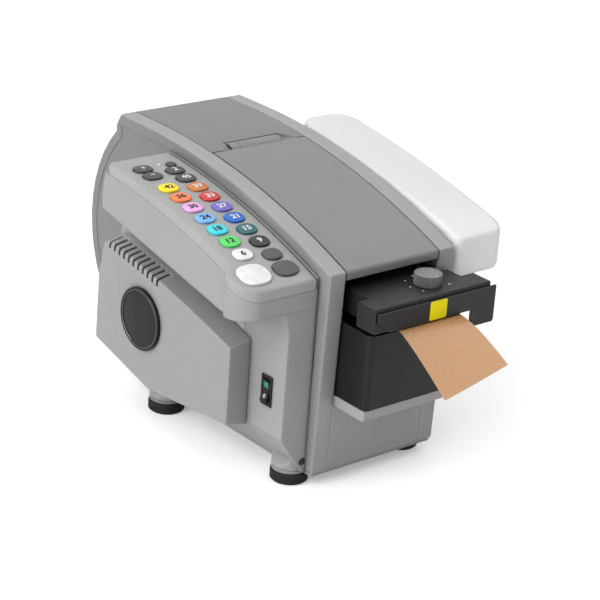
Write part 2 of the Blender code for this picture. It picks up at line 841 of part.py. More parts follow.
def front_panel():
    """Front wall under the opening, with the thick shelf for the water tank."""
    inner = BODY_FRONT + PANEL_THICK
    shelf_top = SHELF_Z + SHELF_THICK
    outline = [
        (front_y(SHELL_Z), SHELL_Z),
        (inner, SHELL_Z),
        (inner, shelf_top - PANEL_THICK),
        (SHELF_REAR, shelf_top - PANEL_THICK),
        (SHELF_REAR, shelf_top),
        (SHELF_FRONT, shelf_top),
        (SHELF_FRONT, SHELF_Z),
        (front_y(SHELF_Z), SHELF_Z),
    ]
    outline = rounded(outline, [0, 0, 0, 0, 0, 0, SHELF_ROUND, 0])
    panel = prism("front_panel", outline, "X", OPEN_LEFT + FIT, OPEN_RIGHT - FIT)
    return paint(smooth(panel), "body_grey")


def tape_basket():
    """Round rear wall and floor of the tape compartment, with two cradle bars."""
    low_x = OPEN_LEFT + FIT
    high_x = OPEN_RIGHT - FIT
    inner = BASKET_RADIUS - WALL
    rear_y = REAR_CORNER_Y + REAR_CORNER_RUN
    start = math.degrees(math.acos((rear_y - BASKET_Y) / BASKET_RADIUS))
    centre = (BASKET_Y, BASKET_Z)
    outline = arc(centre, BASKET_RADIUS, start, -90.0, 18)
    outline += [(BASKET_FRONT, SHELL_Z), (BASKET_FRONT, BASKET_FRONT_Z)]
    outline += [(BASKET_FRONT + WALL, BASKET_FRONT_Z), (BASKET_FRONT + WALL, SHELL_Z + WALL)]
    outline += arc(centre, inner, -90.0, start, 18)
    basket = prism("tape_basket", outline, "X", low_x, high_x)
    for sign in (-1, 1):
        middle = BASKET_Y + sign * CRADLE_HALF_SPAN
        edge = CRADLE_HALF_SPAN - CRADLE_WIDTH / 2
        top = ROLL_Z - math.sqrt(ROLL_RADIUS ** 2 - edge ** 2) - FIT
        bar = box(
            "cradle_bar",
            (low_x + FIT, middle - CRADLE_WIDTH / 2, SHELL_Z + WALL / 2),
            (high_x - FIT, middle + CRADLE_WIDTH / 2, top),
        )
        fuse(basket, bar)
    return paint(smooth(basket), "body_grey")


def feed_frame():
    """Folded sheet chassis: a floor, two side plates for the shafts and the fixed blade bar."""
    floor = SHELL_Z
    outline = [
        (FRAME_FRONT, floor),
        (FRAME_REAR, floor),
        (FRAME_REAR, FRAME_TOP - FRAME_CHAMFER),
        (FRAME_REAR - FRAME_CHAMFER, FRAME_TOP),
        (FRAME_FRONT, FRAME_TOP),
    ]
    chassis = prism("feed_frame", outline, "X", FRAME_LEFT, FRAME_RIGHT)
    inside = box(
        "frame_inside",
        (PLATE_LEFT, FRAME_FRONT - OVERRUN, floor + FRAME_SHEET),
        (PLATE_RIGHT, FRAME_REAR + OVERRUN, FRAME_TOP + OVERRUN),
    )
    cut(chassis, inside)
    across = (FRAME_LEFT - OVERRUN, FRAME_RIGHT + OVERRUN)
    holes = {
        "feed": (FEED_Y, FEED_Z, FEED_SHAFT),
        "press": (FEED_Y, PRESS_Z, PRESS_SHAFT),
        "head": (HEAD_AXIS_Y, HEAD_AXIS_Z, TRUNNION),
    }
    for label, (y, z, radius) in holes.items():
        cut(chassis, rod("frame_hole_" + label, "X", (0.0, y, z), radius + FIT, *across, steps=16))
    motor_hole = rod(
        "frame_hole_motor",
        "X",
        (0.0, MOTOR_Y, MOTOR_Z),
        MOTOR_SHAFT + GEAR_HOLE,
        FRAME_LEFT - OVERRUN,
        PLATE_LEFT + FIT,
        steps=20,
    )
    cut(chassis, motor_hole)
    bar_y = CUT_Y + BLADE_THICK / 2 + BLADE_GAP / 2
    bar_z = TAPE_Z + TAPE_THICK / 2 + FIXED_BLADE_LIFT
    bar = box(
        "fixed_blade",
        (FRAME_LEFT + FRAME_SHEET / 2, bar_y, bar_z),
        (FRAME_RIGHT - FRAME_SHEET / 2, bar_y + FIXED_BLADE_THICK, bar_z + FIXED_BLADE_HEIGHT),
    )
    fuse(chassis, bar)
    return paint(chassis, "zinc_sheet")


def gear_outline(pitch, teeth, turn_deg):
    """Outline of a spur gear with straight-sided teeth, centred on the origin."""
    points = []
    step = math.tau / teeth
    shares = ((-0.27, -TOOTH_DOWN), (-0.13, TOOTH_UP), (0.13, TOOTH_UP), (0.27, -TOOTH_DOWN))
    for tooth in range(teeth):
        for share, height in shares:
            angle = math.radians(turn_deg) + (tooth + share) * step
            radius = pitch + height
            points.append((radius * math.cos(angle), radius * math.sin(angle)))
    return points


def feed_drive():
    """Feed wheel with its gear, the pressure roller, and the motor with its pinion."""
    across = (TAPE_LEFT - FEED_OVERHANG, TAPE_RIGHT + FEED_OVERHANG)
    shaft_ends = (GEAR_X - GEAR_THICK / 3, FRAME_RIGHT + FIT + FEED_OVERHANG)
    profile = [
        (0.0, shaft_ends[1]),
        (FEED_SHAFT, shaft_ends[1]),
        (FEED_SHAFT, across[1]),
        (FEED_RADIUS, across[1]),
        (FEED_RADIUS, across[0]),
        (FEED_SHAFT, across[0]),
        (FEED_SHAFT, shaft_ends[0]),
        (0.0, shaft_ends[0]),
    ]
    axis_point = (0.0, FEED_Y, FEED_Z)
    wheel = turned("feed_wheel", profile, "X", axis_point, 32)
    gear = prism("feed_gear", gear_outline(GEAR_PITCH, GEAR_TEETH, GEAR_LINE_DEG), "X", GEAR_X, GEAR_X + GEAR_THICK)
    gear.data.transform(Matrix.Translation(axis_point))
    bake(fuse(wheel, gear))
    paint(smooth(set_origin(wheel, (ROLL_X, FEED_Y, FEED_Z))), "rubber_black")

    radii = (PRESS_SHAFT, PRESS_RADIUS)
    ends = (FRAME_LEFT - FIT * 2, FRAME_RIGHT + FIT * 2)
    profile = [
        (0.0, ends[1]),
        (radii[0], ends[1]),
        (radii[0], across[1]),
        (radii[1], across[1]),
        (radii[1], across[0]),
        (radii[0], across[0]),
        (radii[0], ends[0]),
        (0.0, ends[0]),
    ]
    roller = turned("pressure_roller", profile, "X", (0.0, FEED_Y, PRESS_Z), 24)
    paint(smooth(set_origin(roller, (ROLL_X, FEED_Y, PRESS_Z))), "rubber_black")
    drive_motor()


def drive_motor():
    start = PLATE_LEFT + FIT
    centre = (0.0, MOTOR_Y, MOTOR_Z)
    shoulder = MOTOR_RADIUS - MOTOR_RIB
    end = start + MOTOR_LENGTH
    profile = [
        (0.0, end),
        (shoulder, end),
        (MOTOR_RADIUS, end - MOTOR_RIB),
        (MOTOR_RADIUS, start + MOTOR_RIB),
        (shoulder, start),
        (0.0, start),
    ]
    motor = turned("drive_motor", profile, "X", centre, 32)
    cut(motor, rod("motor_bore", "X", centre, MOTOR_SHAFT + RUN_FIT, start - OVERRUN, start + MOTOR_BORE_DEPTH, 20))
    paint(smooth(motor), "steel")

    turn = GEAR_LINE_DEG + 180.0 + 180.0 / PINION_TEETH
    pinion = prism("motor_pinion", gear_outline(PINION_PITCH, PINION_TEETH, turn), "X", GEAR_X, GEAR_X + GEAR_THICK)
    pinion.data.transform(Matrix.Translation(centre))
    shaft_end = start + MOTOR_BORE_DEPTH - FIT
    fuse(pinion, rod("pinion_shaft", "X", centre, MOTOR_SHAFT, GEAR_X - FIT, shaft_end, 20))
    paint(smooth(set_origin(bake(pinion), centre)), "steel")


def tangent_to_roll(bend_y, bend_z, radius):
    """Point where a line from the bend meets the top of the roll."""
    across = BASKET_Y - bend_y
    up = ROLL_Z - bend_z
    distance = math.hypot(across, up)
    reach = math.sqrt(distance ** 2 - radius ** 2)
    angle = math.atan2(up, across) + math.asin(radius / distance)
    return bend_y + reach * math.cos(angle), bend_z + reach * math.sin(angle)


def tape():
    """The roll on its core, the web from roll to cutter, and the cut length that stands out."""
    profile = [
        (ROLL_BORE, TAPE_RIGHT),
        (ROLL_RADIUS, TAPE_RIGHT),
        (ROLL_RADIUS, TAPE_LEFT),
        (ROLL_BORE, TAPE_LEFT),
        (ROLL_BORE, TAPE_RIGHT),
    ]
    roll = turned("tape_roll", profile, "X", (0.0, BASKET_Y, ROLL_Z), 64)
    paint(smooth(set_origin(roll, (ROLL_X, BASKET_Y, ROLL_Z))), "kraft_paper")

    half = TAPE_THICK / 2
    end_y = CUT_Y + BLADE_THICK / 2 + BLADE_GAP
    upper = [(end_y, TAPE_Z + half), (TAPE_BEND_Y, TAPE_Z + half)]
    upper.append(tangent_to_roll(TAPE_BEND_Y, TAPE_Z + half, ROLL_RADIUS + FIT + TAPE_THICK))
    lower = [tangent_to_roll(TAPE_BEND_Y, TAPE_Z - half, ROLL_RADIUS + FIT)]
    lower += [(TAPE_BEND_Y, TAPE_Z - half), (end_y, TAPE_Z - half)]
    web = prism("tape_web", upper + lower, "X", TAPE_LEFT, TAPE_RIGHT)
    paint(web, "kraft_paper")
    tape_tongue()


def tongue_point(across_share, run):
    """Place on the free length of tape, which falls more on its left edge."""
    share = max(run, 0.0) / TONGUE_RUN
    left = TONGUE_DROP_LEFT * share ** TONGUE_CURVE_LEFT_share
    right = TONGUE_DROP_RIGHT * share ** TONGUE_CURVE_RIGHT_share
    drop = left + (right - left) * across_share
    return Vector((TAPE_LEFT + TAPE_WIDTH * across_share, TONGUE_EXIT_Y - run, TAPE_Z - drop))


def tape_tongue():
    start_run = TONGUE_EXIT_Y - (CUT_Y - BLADE_THICK / 2 - BLADE_GAP)
    runs = [start_run, 0.0] + [TONGUE_RUN * step / 10 for step in range(1, 11)]
    columns = 3
    mesh = bpy.data.meshes.new("tape_tongue")
    bm = bmesh.new()
    bmesh.ops.create_grid(bm, x_segments=columns, y_segments=len(runs) - 1, size=1.0)
    for vert in bm.verts:
        row = round((vert.co.y + 1) / 2 * (len(runs) - 1))
        vert.co = tongue_point((vert.co.x + 1) / 2, runs[len(runs) - 1 - row])
    bmesh.ops.recalc_face_normals(bm, faces=bm.faces)
    bm.to_mesh(mesh)
    bm.free()
    tongue = new_piece("tape_tongue", mesh)
    sheet = tongue.modifiers.new("paper", "SOLIDIFY")
    sheet.thickness = TAPE_THICK
    sheet.offset = 0.0
    paint(smooth(tongue), "kraft_paper")


def cutter():
    """Rising blade with its stem and the solenoid below."""
    left = PLATE_LEFT + RUN_FIT
    right = PLATE_RIGHT - RUN_FIT
    bottom = BLADE_TOP - BLADE_HEIGHT
    outline = [(left, bottom), (right, bottom), (right, BLADE_TOP), (left, BLADE_TOP - BLADE_SHEAR)]
    low_y = CUT_Y - BLADE_THICK / 2
    blade = prism("cutter_blade", outline, "Y", low_y, low_y + BLADE_THICK)
    middle = (left + right) / 2
    stem = rod("blade_stem", "Z", (middle, CUT_Y, 0.0), BLADE_STEM, BLADE_STEM_FOOT, bottom + OVERRUN, 16)
    fuse(blade, stem)
    paint(smooth(blade), "steel")

    floor = SHELL_Z + FRAME_SHEET + FIT
    solenoid = box(
        "cutter_solenoid",
        (middle - SOLENOID_WIDTH / 2, CUT_Y - SOLENOID_DEPTH / 2, floor),
        (middle + SOLENOID_WIDTH / 2, CUT_Y + SOLENOID_DEPTH / 2, floor + SOLENOID_HEIGHT),
    )
    top = floor + SOLENOID_HEIGHT
    bore = rod(
        "solenoid_bore",
        "Z",
        (middle, CUT_Y, 0.0),
        BLADE_STEM + RUN_FIT,
        top - SOLENOID_BORE_DEPTH,
        top + OVERRUN,
        16,
    )
    cut(round_edges(solenoid, FIT * 4), bore)
    paint(solenoid, "black_moulding")


def water_tank():
    """Open basin with rounded corners that slides out under the head."""
    outline = [
        (TANK_LEFT, SHELF_FRONT),
        (TANK_RIGHT, SHELF_FRONT),
        (TANK_RIGHT, SHELF_REAR),
        (TANK_LEFT, SHELF_REAR),
    ]
    radii = [TANK_ROUND] * 4
    tank = prism("water_tank", rounded(outline, radii), "Z", TANK_Z, TANK_TOP)
    inner = inset_outline(outline, TANK_WALL)
    radii = [TANK_ROUND - TANK_WALL] * 4
    cavity = prism("tank_cavity", rounded(inner, radii), "Z", TANK_Z + TANK_WALL, TANK_TOP + OVERRUN)
    cut(tank, cavity)
    return paint(smooth(tank), "black_moulding")


def brush_set():
    """Brush holder standing in the tank and two rows of bristles."""
    low_x = TANK_LEFT + BRUSH_SIDE_GAP
    high_x = TANK_RIGHT - BRUSH_SIDE_GAP
    floor = TANK_Z + TANK_WALL + FIT
    holder = box("brush_holder", (low_x, BRUSH_FRONT, floor), (high_x, BRUSH_REAR, BRUSH_BODY_TOP))
    middle = (BRUSH_FRONT + BRUSH_REAR) / 2
    slot = box(
        "holder_slot",
        (low_x - OVERRUN, middle - BRUSH_SLOT / 2, (floor + BRUSH_BODY_TOP) / 2),
        (high_x + OVERRUN, middle + BRUSH_SLOT / 2, BRUSH_BODY_TOP + OVERRUN),
    )
    paint(cut(holder, slot), "black_moulding")

    back_z = BRUSH_BODY_TOP + FIT
    low = (low_x + FIT, BRUSH_FRONT + FIT, back_z)
    high = (high_x - FIT, BRUSH_REAR - FIT, back_z + BRUSH_BACK)
    paint(bristle_strip("moistening_brushes", low, high), "bristle")


def bristle_strip(name, low, high):
    """A backing strip whose top cells are drawn up into pointed strands in two bands."""
    bm = bmesh.new()
    bmesh.ops.create_grid(bm, x_segments=BRISTLE_COLUMNS, y_segments=BRISTLE_ROWS, size=0.5)
    raised = bmesh.ops.extrude_face_region(bm, geom=list(bm.faces))
    raised = [item for item in raised["geom"] if isinstance(item, bmesh.types.BMVert)]
    bmesh.ops.translate(bm, vec=(0.0, 0.0, 1.0), verts=raised)
    bmesh.ops.translate(bm, vec=(0.5, 0.5, 0.0), verts=bm.verts)
    bmesh.ops.scale(bm, vec=Vector(high) - Vector(low), verts=bm.verts)
    bmesh.ops.translate(bm, vec=low, verts=bm.verts)
    bmesh.ops.recalc_face_normals(bm, faces=bm.faces)
    middle = (low[1] + high[1]) / 2
    row_depth = (high[1] - low[1]) / BRISTLE_ROWS
    tops = [face for face in bm.faces if face.normal.z > 0.5]
    under = [face for face in bm.faces if face.normal.z < -0.5]
    bmesh.ops.dissolve_faces(bm, faces=under)
    for number, face in enumerate(tops):
        centre = face.calc_center_median()
        if abs(centre.y - middle) < row_depth / 2:
            continue
        lean_x = BRISTLE_LEAN * math.sin(number * 2.4)
        lean_y = BRISTLE_LEAN * math.cos(number * 1.7)
        point = bmesh.ops.poke(bm, faces=[face])["verts"][0]
        point.co = (centre.x + lean_x, centre.y + lean_y, BRISTLE_TOP)
    mesh = bpy.data.meshes.new(name)
    bm.to_mesh(mesh)
    bm.free()
    return new_piece(name, mesh)


def head_plan():
    """Top view of the head: wide bar in front, narrower neck into the body."""
    return [
        (HEAD_LEFT, HEAD_FRONT),
        (HEAD_RIGHT, HEAD_FRONT),
        (HEAD_RIGHT, HEAD_STEP_Y),
        (HEAD_MID_RIGHT, HEAD_STEP_Y),
        (HEAD_MID_RIGHT, HEAD_MID_REAR),
        (NECK_RIGHT, HEAD_MID_REAR),
        (NECK_RIGHT, NECK_REAR),
        (HEAD_MID_LEFT, NECK_REAR),
        (HEAD_MID_LEFT, HEAD_STEP_Y),
        (HEAD_LEFT, HEAD_STEP_Y),
    ]


def heater_head():
    """Cover of the heater, its face plate, the plate that presses the tape, and the knob."""
    plan = head_plan()
    cover = prism("head_cover", plan, "Z", HEAD_Z, HEAD_TOP)
    bm = bmesh.new()
    bm.from_mesh(cover.data)
    rim = [e for e in bm.edges if all(v.co.z > HEAD_TOP - FIT for v in e.verts)]
    bmesh.ops.bevel(bm, geom=rim, offset=HEAD_ROUND, segments=2, profile=0.5, affect="EDGES")
    bm.to_mesh(cover.data)
    bm.free()
    cavity = prism("head_cavity", inset_outline(plan, HEAD_WALL), "Z", HEAD_Z - OVERRUN, HEAD_TOP - HEAD_WALL)
    cut(cover, cavity)
    ends = (FRAME_LEFT - FIT * 2, FRAME_RIGHT + FIT * 2)
    axis_point = (0.0, HEAD_AXIS_Y, HEAD_AXIS_Z)
    fuse(cover, rod("trunnion_left", "X", axis_point, TRUNNION, ends[0], HEAD_MID_LEFT + HEAD_WALL / 2, 16))
    fuse(cover, rod("trunnion_right", "X", axis_point, TRUNNION, NECK_RIGHT - HEAD_WALL / 2, ends[1], 16))
    knob_at = (KNOB_X, KNOB_Y, 0.0)
    cut(cover, rod("knob_hole", "Z", knob_at, KNOB_STEM + RUN_FIT, HEAD_TOP - HEAD_WALL * 2, HEAD_TOP + OVERRUN, 20))
    bake(cover)
    paint(smooth(set_origin(cover, axis_point)), "black_moulding")
    head_front_plate()
    heater_plate()
    head_knob()


def head_front_plate():
    """Flat front of the head, with a tab that drops beside the tank, clear of its way out."""
    tab_left = TANK_RIGHT + FACE_TAB_GAP
    low = HEAD_FRONT - FIT - FACE_THICK
    outline = [
        (FACE_LEFT, FACE_TOP),
        (FACE_RIGHT, FACE_TOP),
        (FACE_RIGHT, FACE_TAB_Z),
        (tab_left, FACE_TAB_Z),
        (tab_left, HEAD_Z),
        (FACE_LEFT + FACE_CHAMFER_RUN, HEAD_Z),
        (FACE_LEFT, HEAD_Z + FACE_CHAMFER),
    ]
    radii = [FACE_THICK / 2, FACE_THICK / 2, FACE_THICK, FACE_THICK / 2, 0, 0, 0]
    plate = prism("head_front_plate", rounded(outline, radii, 3), "Y", low, low + FACE_THICK)
    return paint(round_edges(plate, FIT * 2, 1), "black_moulding")


def heater_plate():
    left = HEAD_MID_LEFT + HEAD_WALL + FIT
    right = NECK_RIGHT - HEAD_WALL - FIT
    low_z = HEAD_Z + HEATER_LIFT
    plate = box("heater_plate", (left, HEATER_FRONT, low_z), (right, HEATER_REAR, low_z + HEATER_THICK))
    for share in (1, 2, 3):
        x = left + (right - left) * share / 4
        groove = box(
            "heater_groove",
            (x - HEATER_THICK / 2, HEATER_FRONT - OVERRUN, low_z + HEATER_THICK / 2),
            (x + HEATER_THICK / 2, HEATER_REAR + OVERRUN, low_z + HEATER_THICK * 2),
        )
        cut(plate, groove)
    return paint(plate, "steel")


def head_knob():
    """Round knob with flutes all round and a pointer groove."""
    base = HEAD_TOP + FIT
    top = base + KNOB_HEIGHT
    outline = []
    for ridge in range(KNOB_RIDGES):
        for share, radius in ((-0.25, KNOB_RADIUS - KNOB_RIDGE), (0.25, KNOB_RADIUS)):
            angle = math.tau * (ridge + share) / KNOB_RIDGES
            outline.append((KNOB_X + radius * math.cos(angle), KNOB_Y + radius * math.sin(angle)))
    knob = prism("head_knob", outline, "Z", base, top)
    stem = rod("knob_stem", "Z", (KNOB_X, KNOB_Y, 0.0), KNOB_STEM, HEAD_TOP - HEAD_WALL, base + OVERRUN, 20)
    fuse(knob, stem)
    groove = box(
        "pointer_groove",
        (KNOB_X - KNOB_TOP_ROUND / 2, KNOB_Y - KNOB_RADIUS - OVERRUN, top - KNOB_TOP_ROUND),
        (KNOB_X + KNOB_TOP_ROUND / 2, KNOB_Y - KNOB_RADIUS / 3, top + OVERRUN),
    )
    cut(knob, groove)
    return paint(set_origin(bake(knob), (KNOB_X, KNOB_Y, base)), "knob_grey")


def front_cover():
    """Hinged cover over the feed, with its rolled front lip and a recessed hinge tongue."""
    low_x = OPEN_LEFT + LID_SIDE_GAP
    high_x = OPEN_RIGHT - LID_SIDE_GAP
    nose_y = front_y(COVER_LIP_Z)
    nose = (nose_y, top_height(nose_y))
    outer = [(nose_y, COVER_LIP_Z), nose] + top_arc(nose_y, LID_SEAM_Y, 0.0, 14)[1:]
    inner = top_arc(LID_SEAM_Y - LID_THICK * 2 / 3, nose_y + LID_THICK, LID_THICK, 14)
    inner.append((nose_y + LID_THICK, COVER_LIP_Z))
    outer.append((LID_SEAM_Y, top_height(LID_SEAM_Y) - LID_THICK / 3))
    outline = outer + inner
    radii = [0, COVER_NOSE] + [0] * (len(outline) - 2)
    cover = prism("front_cover", rounded(outline, radii, 5), "X", low_x, high_x)
    add_skirts(cover, "cover_skirt", low_x, high_x, nose_y + LID_THICK / 2, LID_SEAM_Y - COVER_SKIRT)

    axis_z = top_height(COVER_AXIS_Y) - COVER_AXIS_DROP
    tongue_rear = CHANNEL_REAR - LID_SEAM_GAP
    tongue_ends = (CHANNEL_LEFT + LID_SEAM_GAP, CHANNEL_RIGHT - LID_SEAM_GAP)
    tongue = prism("hinge_tongue", tongue_outline(tongue_rear), "X", *tongue_ends)
    knuckle_radius = COVER_PIN + KNUCKLE_WALL
    centre = (0.0, COVER_AXIS_Y, axis_z)
    knuckle = rod("cover_knuckle", "X", centre, knuckle_radius, KNUCKLE_LEFT, KNUCKLE_RIGHT, 20)
    web = box(
        "knuckle_web",
        (KNUCKLE_LEFT, COVER_AXIS_Y - COVER_PIN, axis_z),
        (KNUCKLE_RIGHT, COVER_AXIS_Y + COVER_PIN, axis_z + COVER_AXIS_DROP - CHANNEL_DROP),
    )
    fuse(cover, tongue, web, knuckle)
    hole = rod("knuckle_hole", "X", centre, COVER_PIN + FIT, KNUCKLE_LEFT - OVERRUN, KNUCKLE_RIGHT + OVERRUN, 20)
    cut(cover, hole)
    bake(cover)
    paint(smooth(set_origin(cover, centre)), "body_grey")

    pin_ends = (BODY_LEFT + WALL + FIT, BODY_RIGHT - WALL - FIT)
    pin = rod("lid_hinge_pin", "X", centre, COVER_PIN, *pin_ends, steps=20)
    paint(smooth(pin), "steel")


def tongue_outline(rear):
    """Side view of the cover's hinge tongue, which slopes down from the seam to the finger recess."""
    start = LID_SEAM_Y - LID_THICK * 2
    edge_inset = LID_THICK / 3
    insets = [(start, LID_THICK / 2), (LID_SEAM_Y, edge_inset)]
    for step in (1, 2, 3):
        y = LID_SEAM_Y + (rear - LID_SEAM_Y) * step / 3
        insets.append((y, edge_inset + (CHANNEL_DROP - edge_inset) * step / 3))
    upper = [(y, top_height(y, inset)) for y, inset in insets]
    lower = [(y, top_height(y, inset + LID_THICK)) for y, inset in reversed(insets)]
    return upper + lower


def add_skirts(lid, name, low_x, high_x, start_y, end_y):
    """Stiffening walls under both long edges of a lid."""
    for side, x in (("left", low_x), ("right", high_x - COVER_SKIRT_THICK)):
        skirt = arc_slab(
            name + "_" + side, start_y, end_y, LID_THICK / 2, COVER_SKIRT, x, x + COVER_SKIRT_THICK, 12
        )
        fuse(lid, skirt)


def rear_lid():
    """Lid over the tape roll, with the finger recess in its front edge."""
    low_x = OPEN_LEFT + LID_SIDE_GAP
    high_x = OPEN_RIGHT - LID_SIDE_GAP
    front = LID_SEAM_Y + LID_SEAM_GAP
    rear_y = REAR_CORNER_Y + REAR_CORNER_RUN
    low_corner = TOP_Z - REAR_CORNER_DROP
    outline = top_arc(front, TOP_FLAT_Y, 0.0, 6) + [(REAR_CORNER_Y, TOP_Z), (rear_y, low_corner)]
    outline += [(rear_y, LID_LIP_Z), (rear_y - LID_THICK, LID_LIP_Z), (rear_y - LID_THICK, low_corner)]
    outline += [(REAR_CORNER_Y - LID_THICK / 2, TOP_Z - LID_THICK)]
    outline += top_arc(TOP_FLAT_Y, front, LID_THICK, 6)
    lid = prism("rear_lid", outline, "X", low_x, high_x)
    add_skirts(lid, "lid_skirt", low_x, high_x, CHANNEL_REAR, REAR_CORNER_Y - COVER_SKIRT)
    for side, x in (("left", low_x), ("right", high_x - COVER_SKIRT_THICK)):
        lug = [
            (LID_AXIS_Y - COVER_SKIRT * 2, LID_AXIS_Z - LID_LUG),
            (LID_AXIS_Y + LID_LUG, LID_AXIS_Z - LID_LUG),
            (LID_AXIS_Y + LID_LUG, low_corner),
            (REAR_CORNER_Y - LID_THICK / 2, TOP_Z - LID_THICK / 2),
            (LID_AXIS_Y - COVER_SKIRT * 2, TOP_Z - LID_THICK / 2),
        ]
        fuse(lid, prism("lid_lug_" + side, lug, "X", x, x + COVER_SKIRT_THICK))
    for side, ends in (("left", (low_x, CHANNEL_LEFT)), ("right", (CHANNEL_RIGHT, high_x))):
        pad = arc_slab(
            "ramp_pad_" + side, front, CHANNEL_REAR + LID_THICK, FIT, CHANNEL_DROP + LID_THICK, *ends, 3
        )
        fuse(lid, pad)
    notch = box(
        "finger_notch",
        (CHANNEL_LEFT, front - OVERRUN, LID_LIP_Z),
        (CHANNEL_RIGHT, CHANNEL_REAR, TOP_Z + OVERRUN),
    )
    cut(lid, notch)
    cut_ramps(lid, front)
    for side, span in lid_trunnions(low_x, high_x).items():
        centre = (0.0, LID_AXIS_Y, LID_AXIS_Z)
        fuse(lid, rod("lid_trunnion_" + side, "X", centre, LID_TRUNNION, *span, steps=16))
    bake(lid)
    return paint(smooth(set_origin(lid, (0.0, LID_AXIS_Y, LID_AXIS_Z))), "body_grey")


def lid_trunnions(low_x, high_x):
    """Spans of the two stub pins moulded on the lid's skirts."""
    reach = LEFT_RIM * 2 / 3
    return {
        "left": (low_x - reach, low_x + COVER_SKIRT_THICK / 2),
        "right": (high_x - COVER_SKIRT_THICK / 2, high_x + reach),
    }


def cut_ramps(lid, front):
    """Three-cornered slopes that lead down to both ends of the finger recess."""
    for side, edge_x, outward in (("left", CHANNEL_LEFT, -1), ("right", CHANNEL_RIGHT, 1)):
        level = top_height(CHANNEL_REAR)
        slope = prism(
            "ramp_" + side,
            [
                (edge_x - outward * OVERRUN, level + OVERRUN),
                (edge_x - outward * OVERRUN, level - CHANNEL_DROP),
                (edge_x, level - CHANNEL_DROP),
                (edge_x + outward * RAMP_RUN, level + OVERRUN / 2),
            ],
            "Y",
            front - OVERRUN,
            CHANNEL_REAR,
        )
        shear_to_arc(slope, edge_x, outward)
        cut(lid, slope)


def shear_to_arc(slope, edge_x, outward):
    """Lean the ramp's cutter so that it fades out toward the rear and follows the arc."""
    for vert in slope.data.vertices:
        front_share = (CHANNEL_REAR - vert.co.y) / (CHANNEL_REAR - LID_SEAM_Y)
        vert.co.z += top_height(vert.co.y) - top_height(CHANNEL_REAR)
        reach = (vert.co.x - edge_x) * outward
        if reach > 0:
            vert.co.x = edge_x + outward * reach * max(front_share, RAMP_FADE_share)


def wing_outline():
    """Side view of the keypad wing under its bezel."""
    top = top_arc(WING_FRONT, WING_REAR_TOP, DECK_DROP + BEZEL_THICK + FIT, 10)
    return top + [
        (WING_REAR_LOW, WING_LOW_REAR_Z),
        (WING_LOW_KNEE_Y, WING_LOW_KNEE_Z),
        (WING_FRONT, WING_LOW_FRONT_Z),
    ]


def wing_plan(front, rear, right):
    """Top view of the wing, whose front left corner swells round the largest key."""
    lowest = math.degrees(math.acos((WING_LEFT - SWELL_X) / SWELL_RADIUS))
    points = [(right, front), (right, rear)]
    points += arc((WING_LEFT + WING_REAR_ROUND, rear - WING_REAR_ROUND), WING_REAR_ROUND, 90.0, 180.0, 5)
    points += arc((SWELL_X, SWELL_Y), SWELL_RADIUS, lowest, 180.0, 5)
    points += arc((SWELL_X, SWELL_Y), SWELL_RADIUS, 180.0, 260.0, 8)[1:]
    return points


def control_housing():
    """Keypad wing, electronics core, sloped skirt and the two left foot bosses."""
    right = BODY_LEFT - FIT
    housing = prism("control_housing", wing_outline(), "X", WING_SIDE - OVERRUN, right + OVERRUN)
    plan = prism("wing_plan", wing_plan(WING_FRONT, WING_REAR_LOW, right), "Z", 0.0, TOP_Z)
    keep_inside(housing, plan)
    front = WING_FRONT + FIT
    core_outline = [
        (front, SHELL_Z),
        (CORE_REAR, SHELL_Z),
        (CORE_REAR, CORE_SHOULDER_Z),
        (WING_REAR_LOW - OVERRUN, WING_LOW_REAR_Z + OVERRUN),
        (WING_LOW_KNEE_Y, WING_LOW_KNEE_Z + OVERRUN * 2),
        (front, WING_LOW_FRONT_Z + OVERRUN),
    ]
    core = prism("housing_core", core_outline, "X", CORE_LEFT, right + OVERRUN)
    slope = (SKIRT_FOOT_X - CORE_LEFT) / (CORE_SKIRT_Z - SHELL_Z)
    skirt_outline = [
        (CORE_LEFT - slope * OVERRUN, CORE_SKIRT_Z + OVERRUN),
        (SKIRT_FOOT_X + slope * OVERRUN, SHELL_Z - OVERRUN),
        (CORE_LEFT - OVERRUN * 2, SHELL_Z - OVERRUN),
        (CORE_LEFT - OVERRUN * 2, CORE_SKIRT_Z + OVERRUN),
    ]
    under = prism("under_skirt", skirt_outline, "Y", WING_FRONT - OVERRUN, CORE_REAR + OVERRUN)
    cut(core, under)
    rib = arc_slab(
        "seam_rib",
        WING_FRONT + FIT * 2,
        WING_REAR_TOP,
        DECK_DROP,
        DECK_DROP + BEZEL_THICK * 2,
        right - SEAM_RIB,
        right + OVERRUN,
    )
    fuse(housing, bake(core), flare_under_wing(), rib)
    for label in ("front_left", "rear_left"):
        fuse(housing, foot_boss(label))
    beyond = box(
        "beyond_wing",
        (right, WING_FRONT - OVERRUN * 3, 0.0),
        (right + FOOT_RADIUS * 2, CORE_REAR + OVERRUN, TOP_Z + OVERRUN),
    )
    cut(housing, beyond)
    bay = box(
        "electronics_bay",
        (CORE_LEFT - OVERRUN, COVER_FRONT_Y + BAY_MARGIN, CORE_SKIRT_Z + BAY_MARGIN),
        (CORE_LEFT + BAY_DEPTH, CORE_REAR - BAY_MARGIN, WING_LOW_KNEE_Z - BAY_MARGIN),
    )
    cut(housing, bay, switch_pocket(), inlet_pocket())
    return paint(smooth(housing), "body_grey")


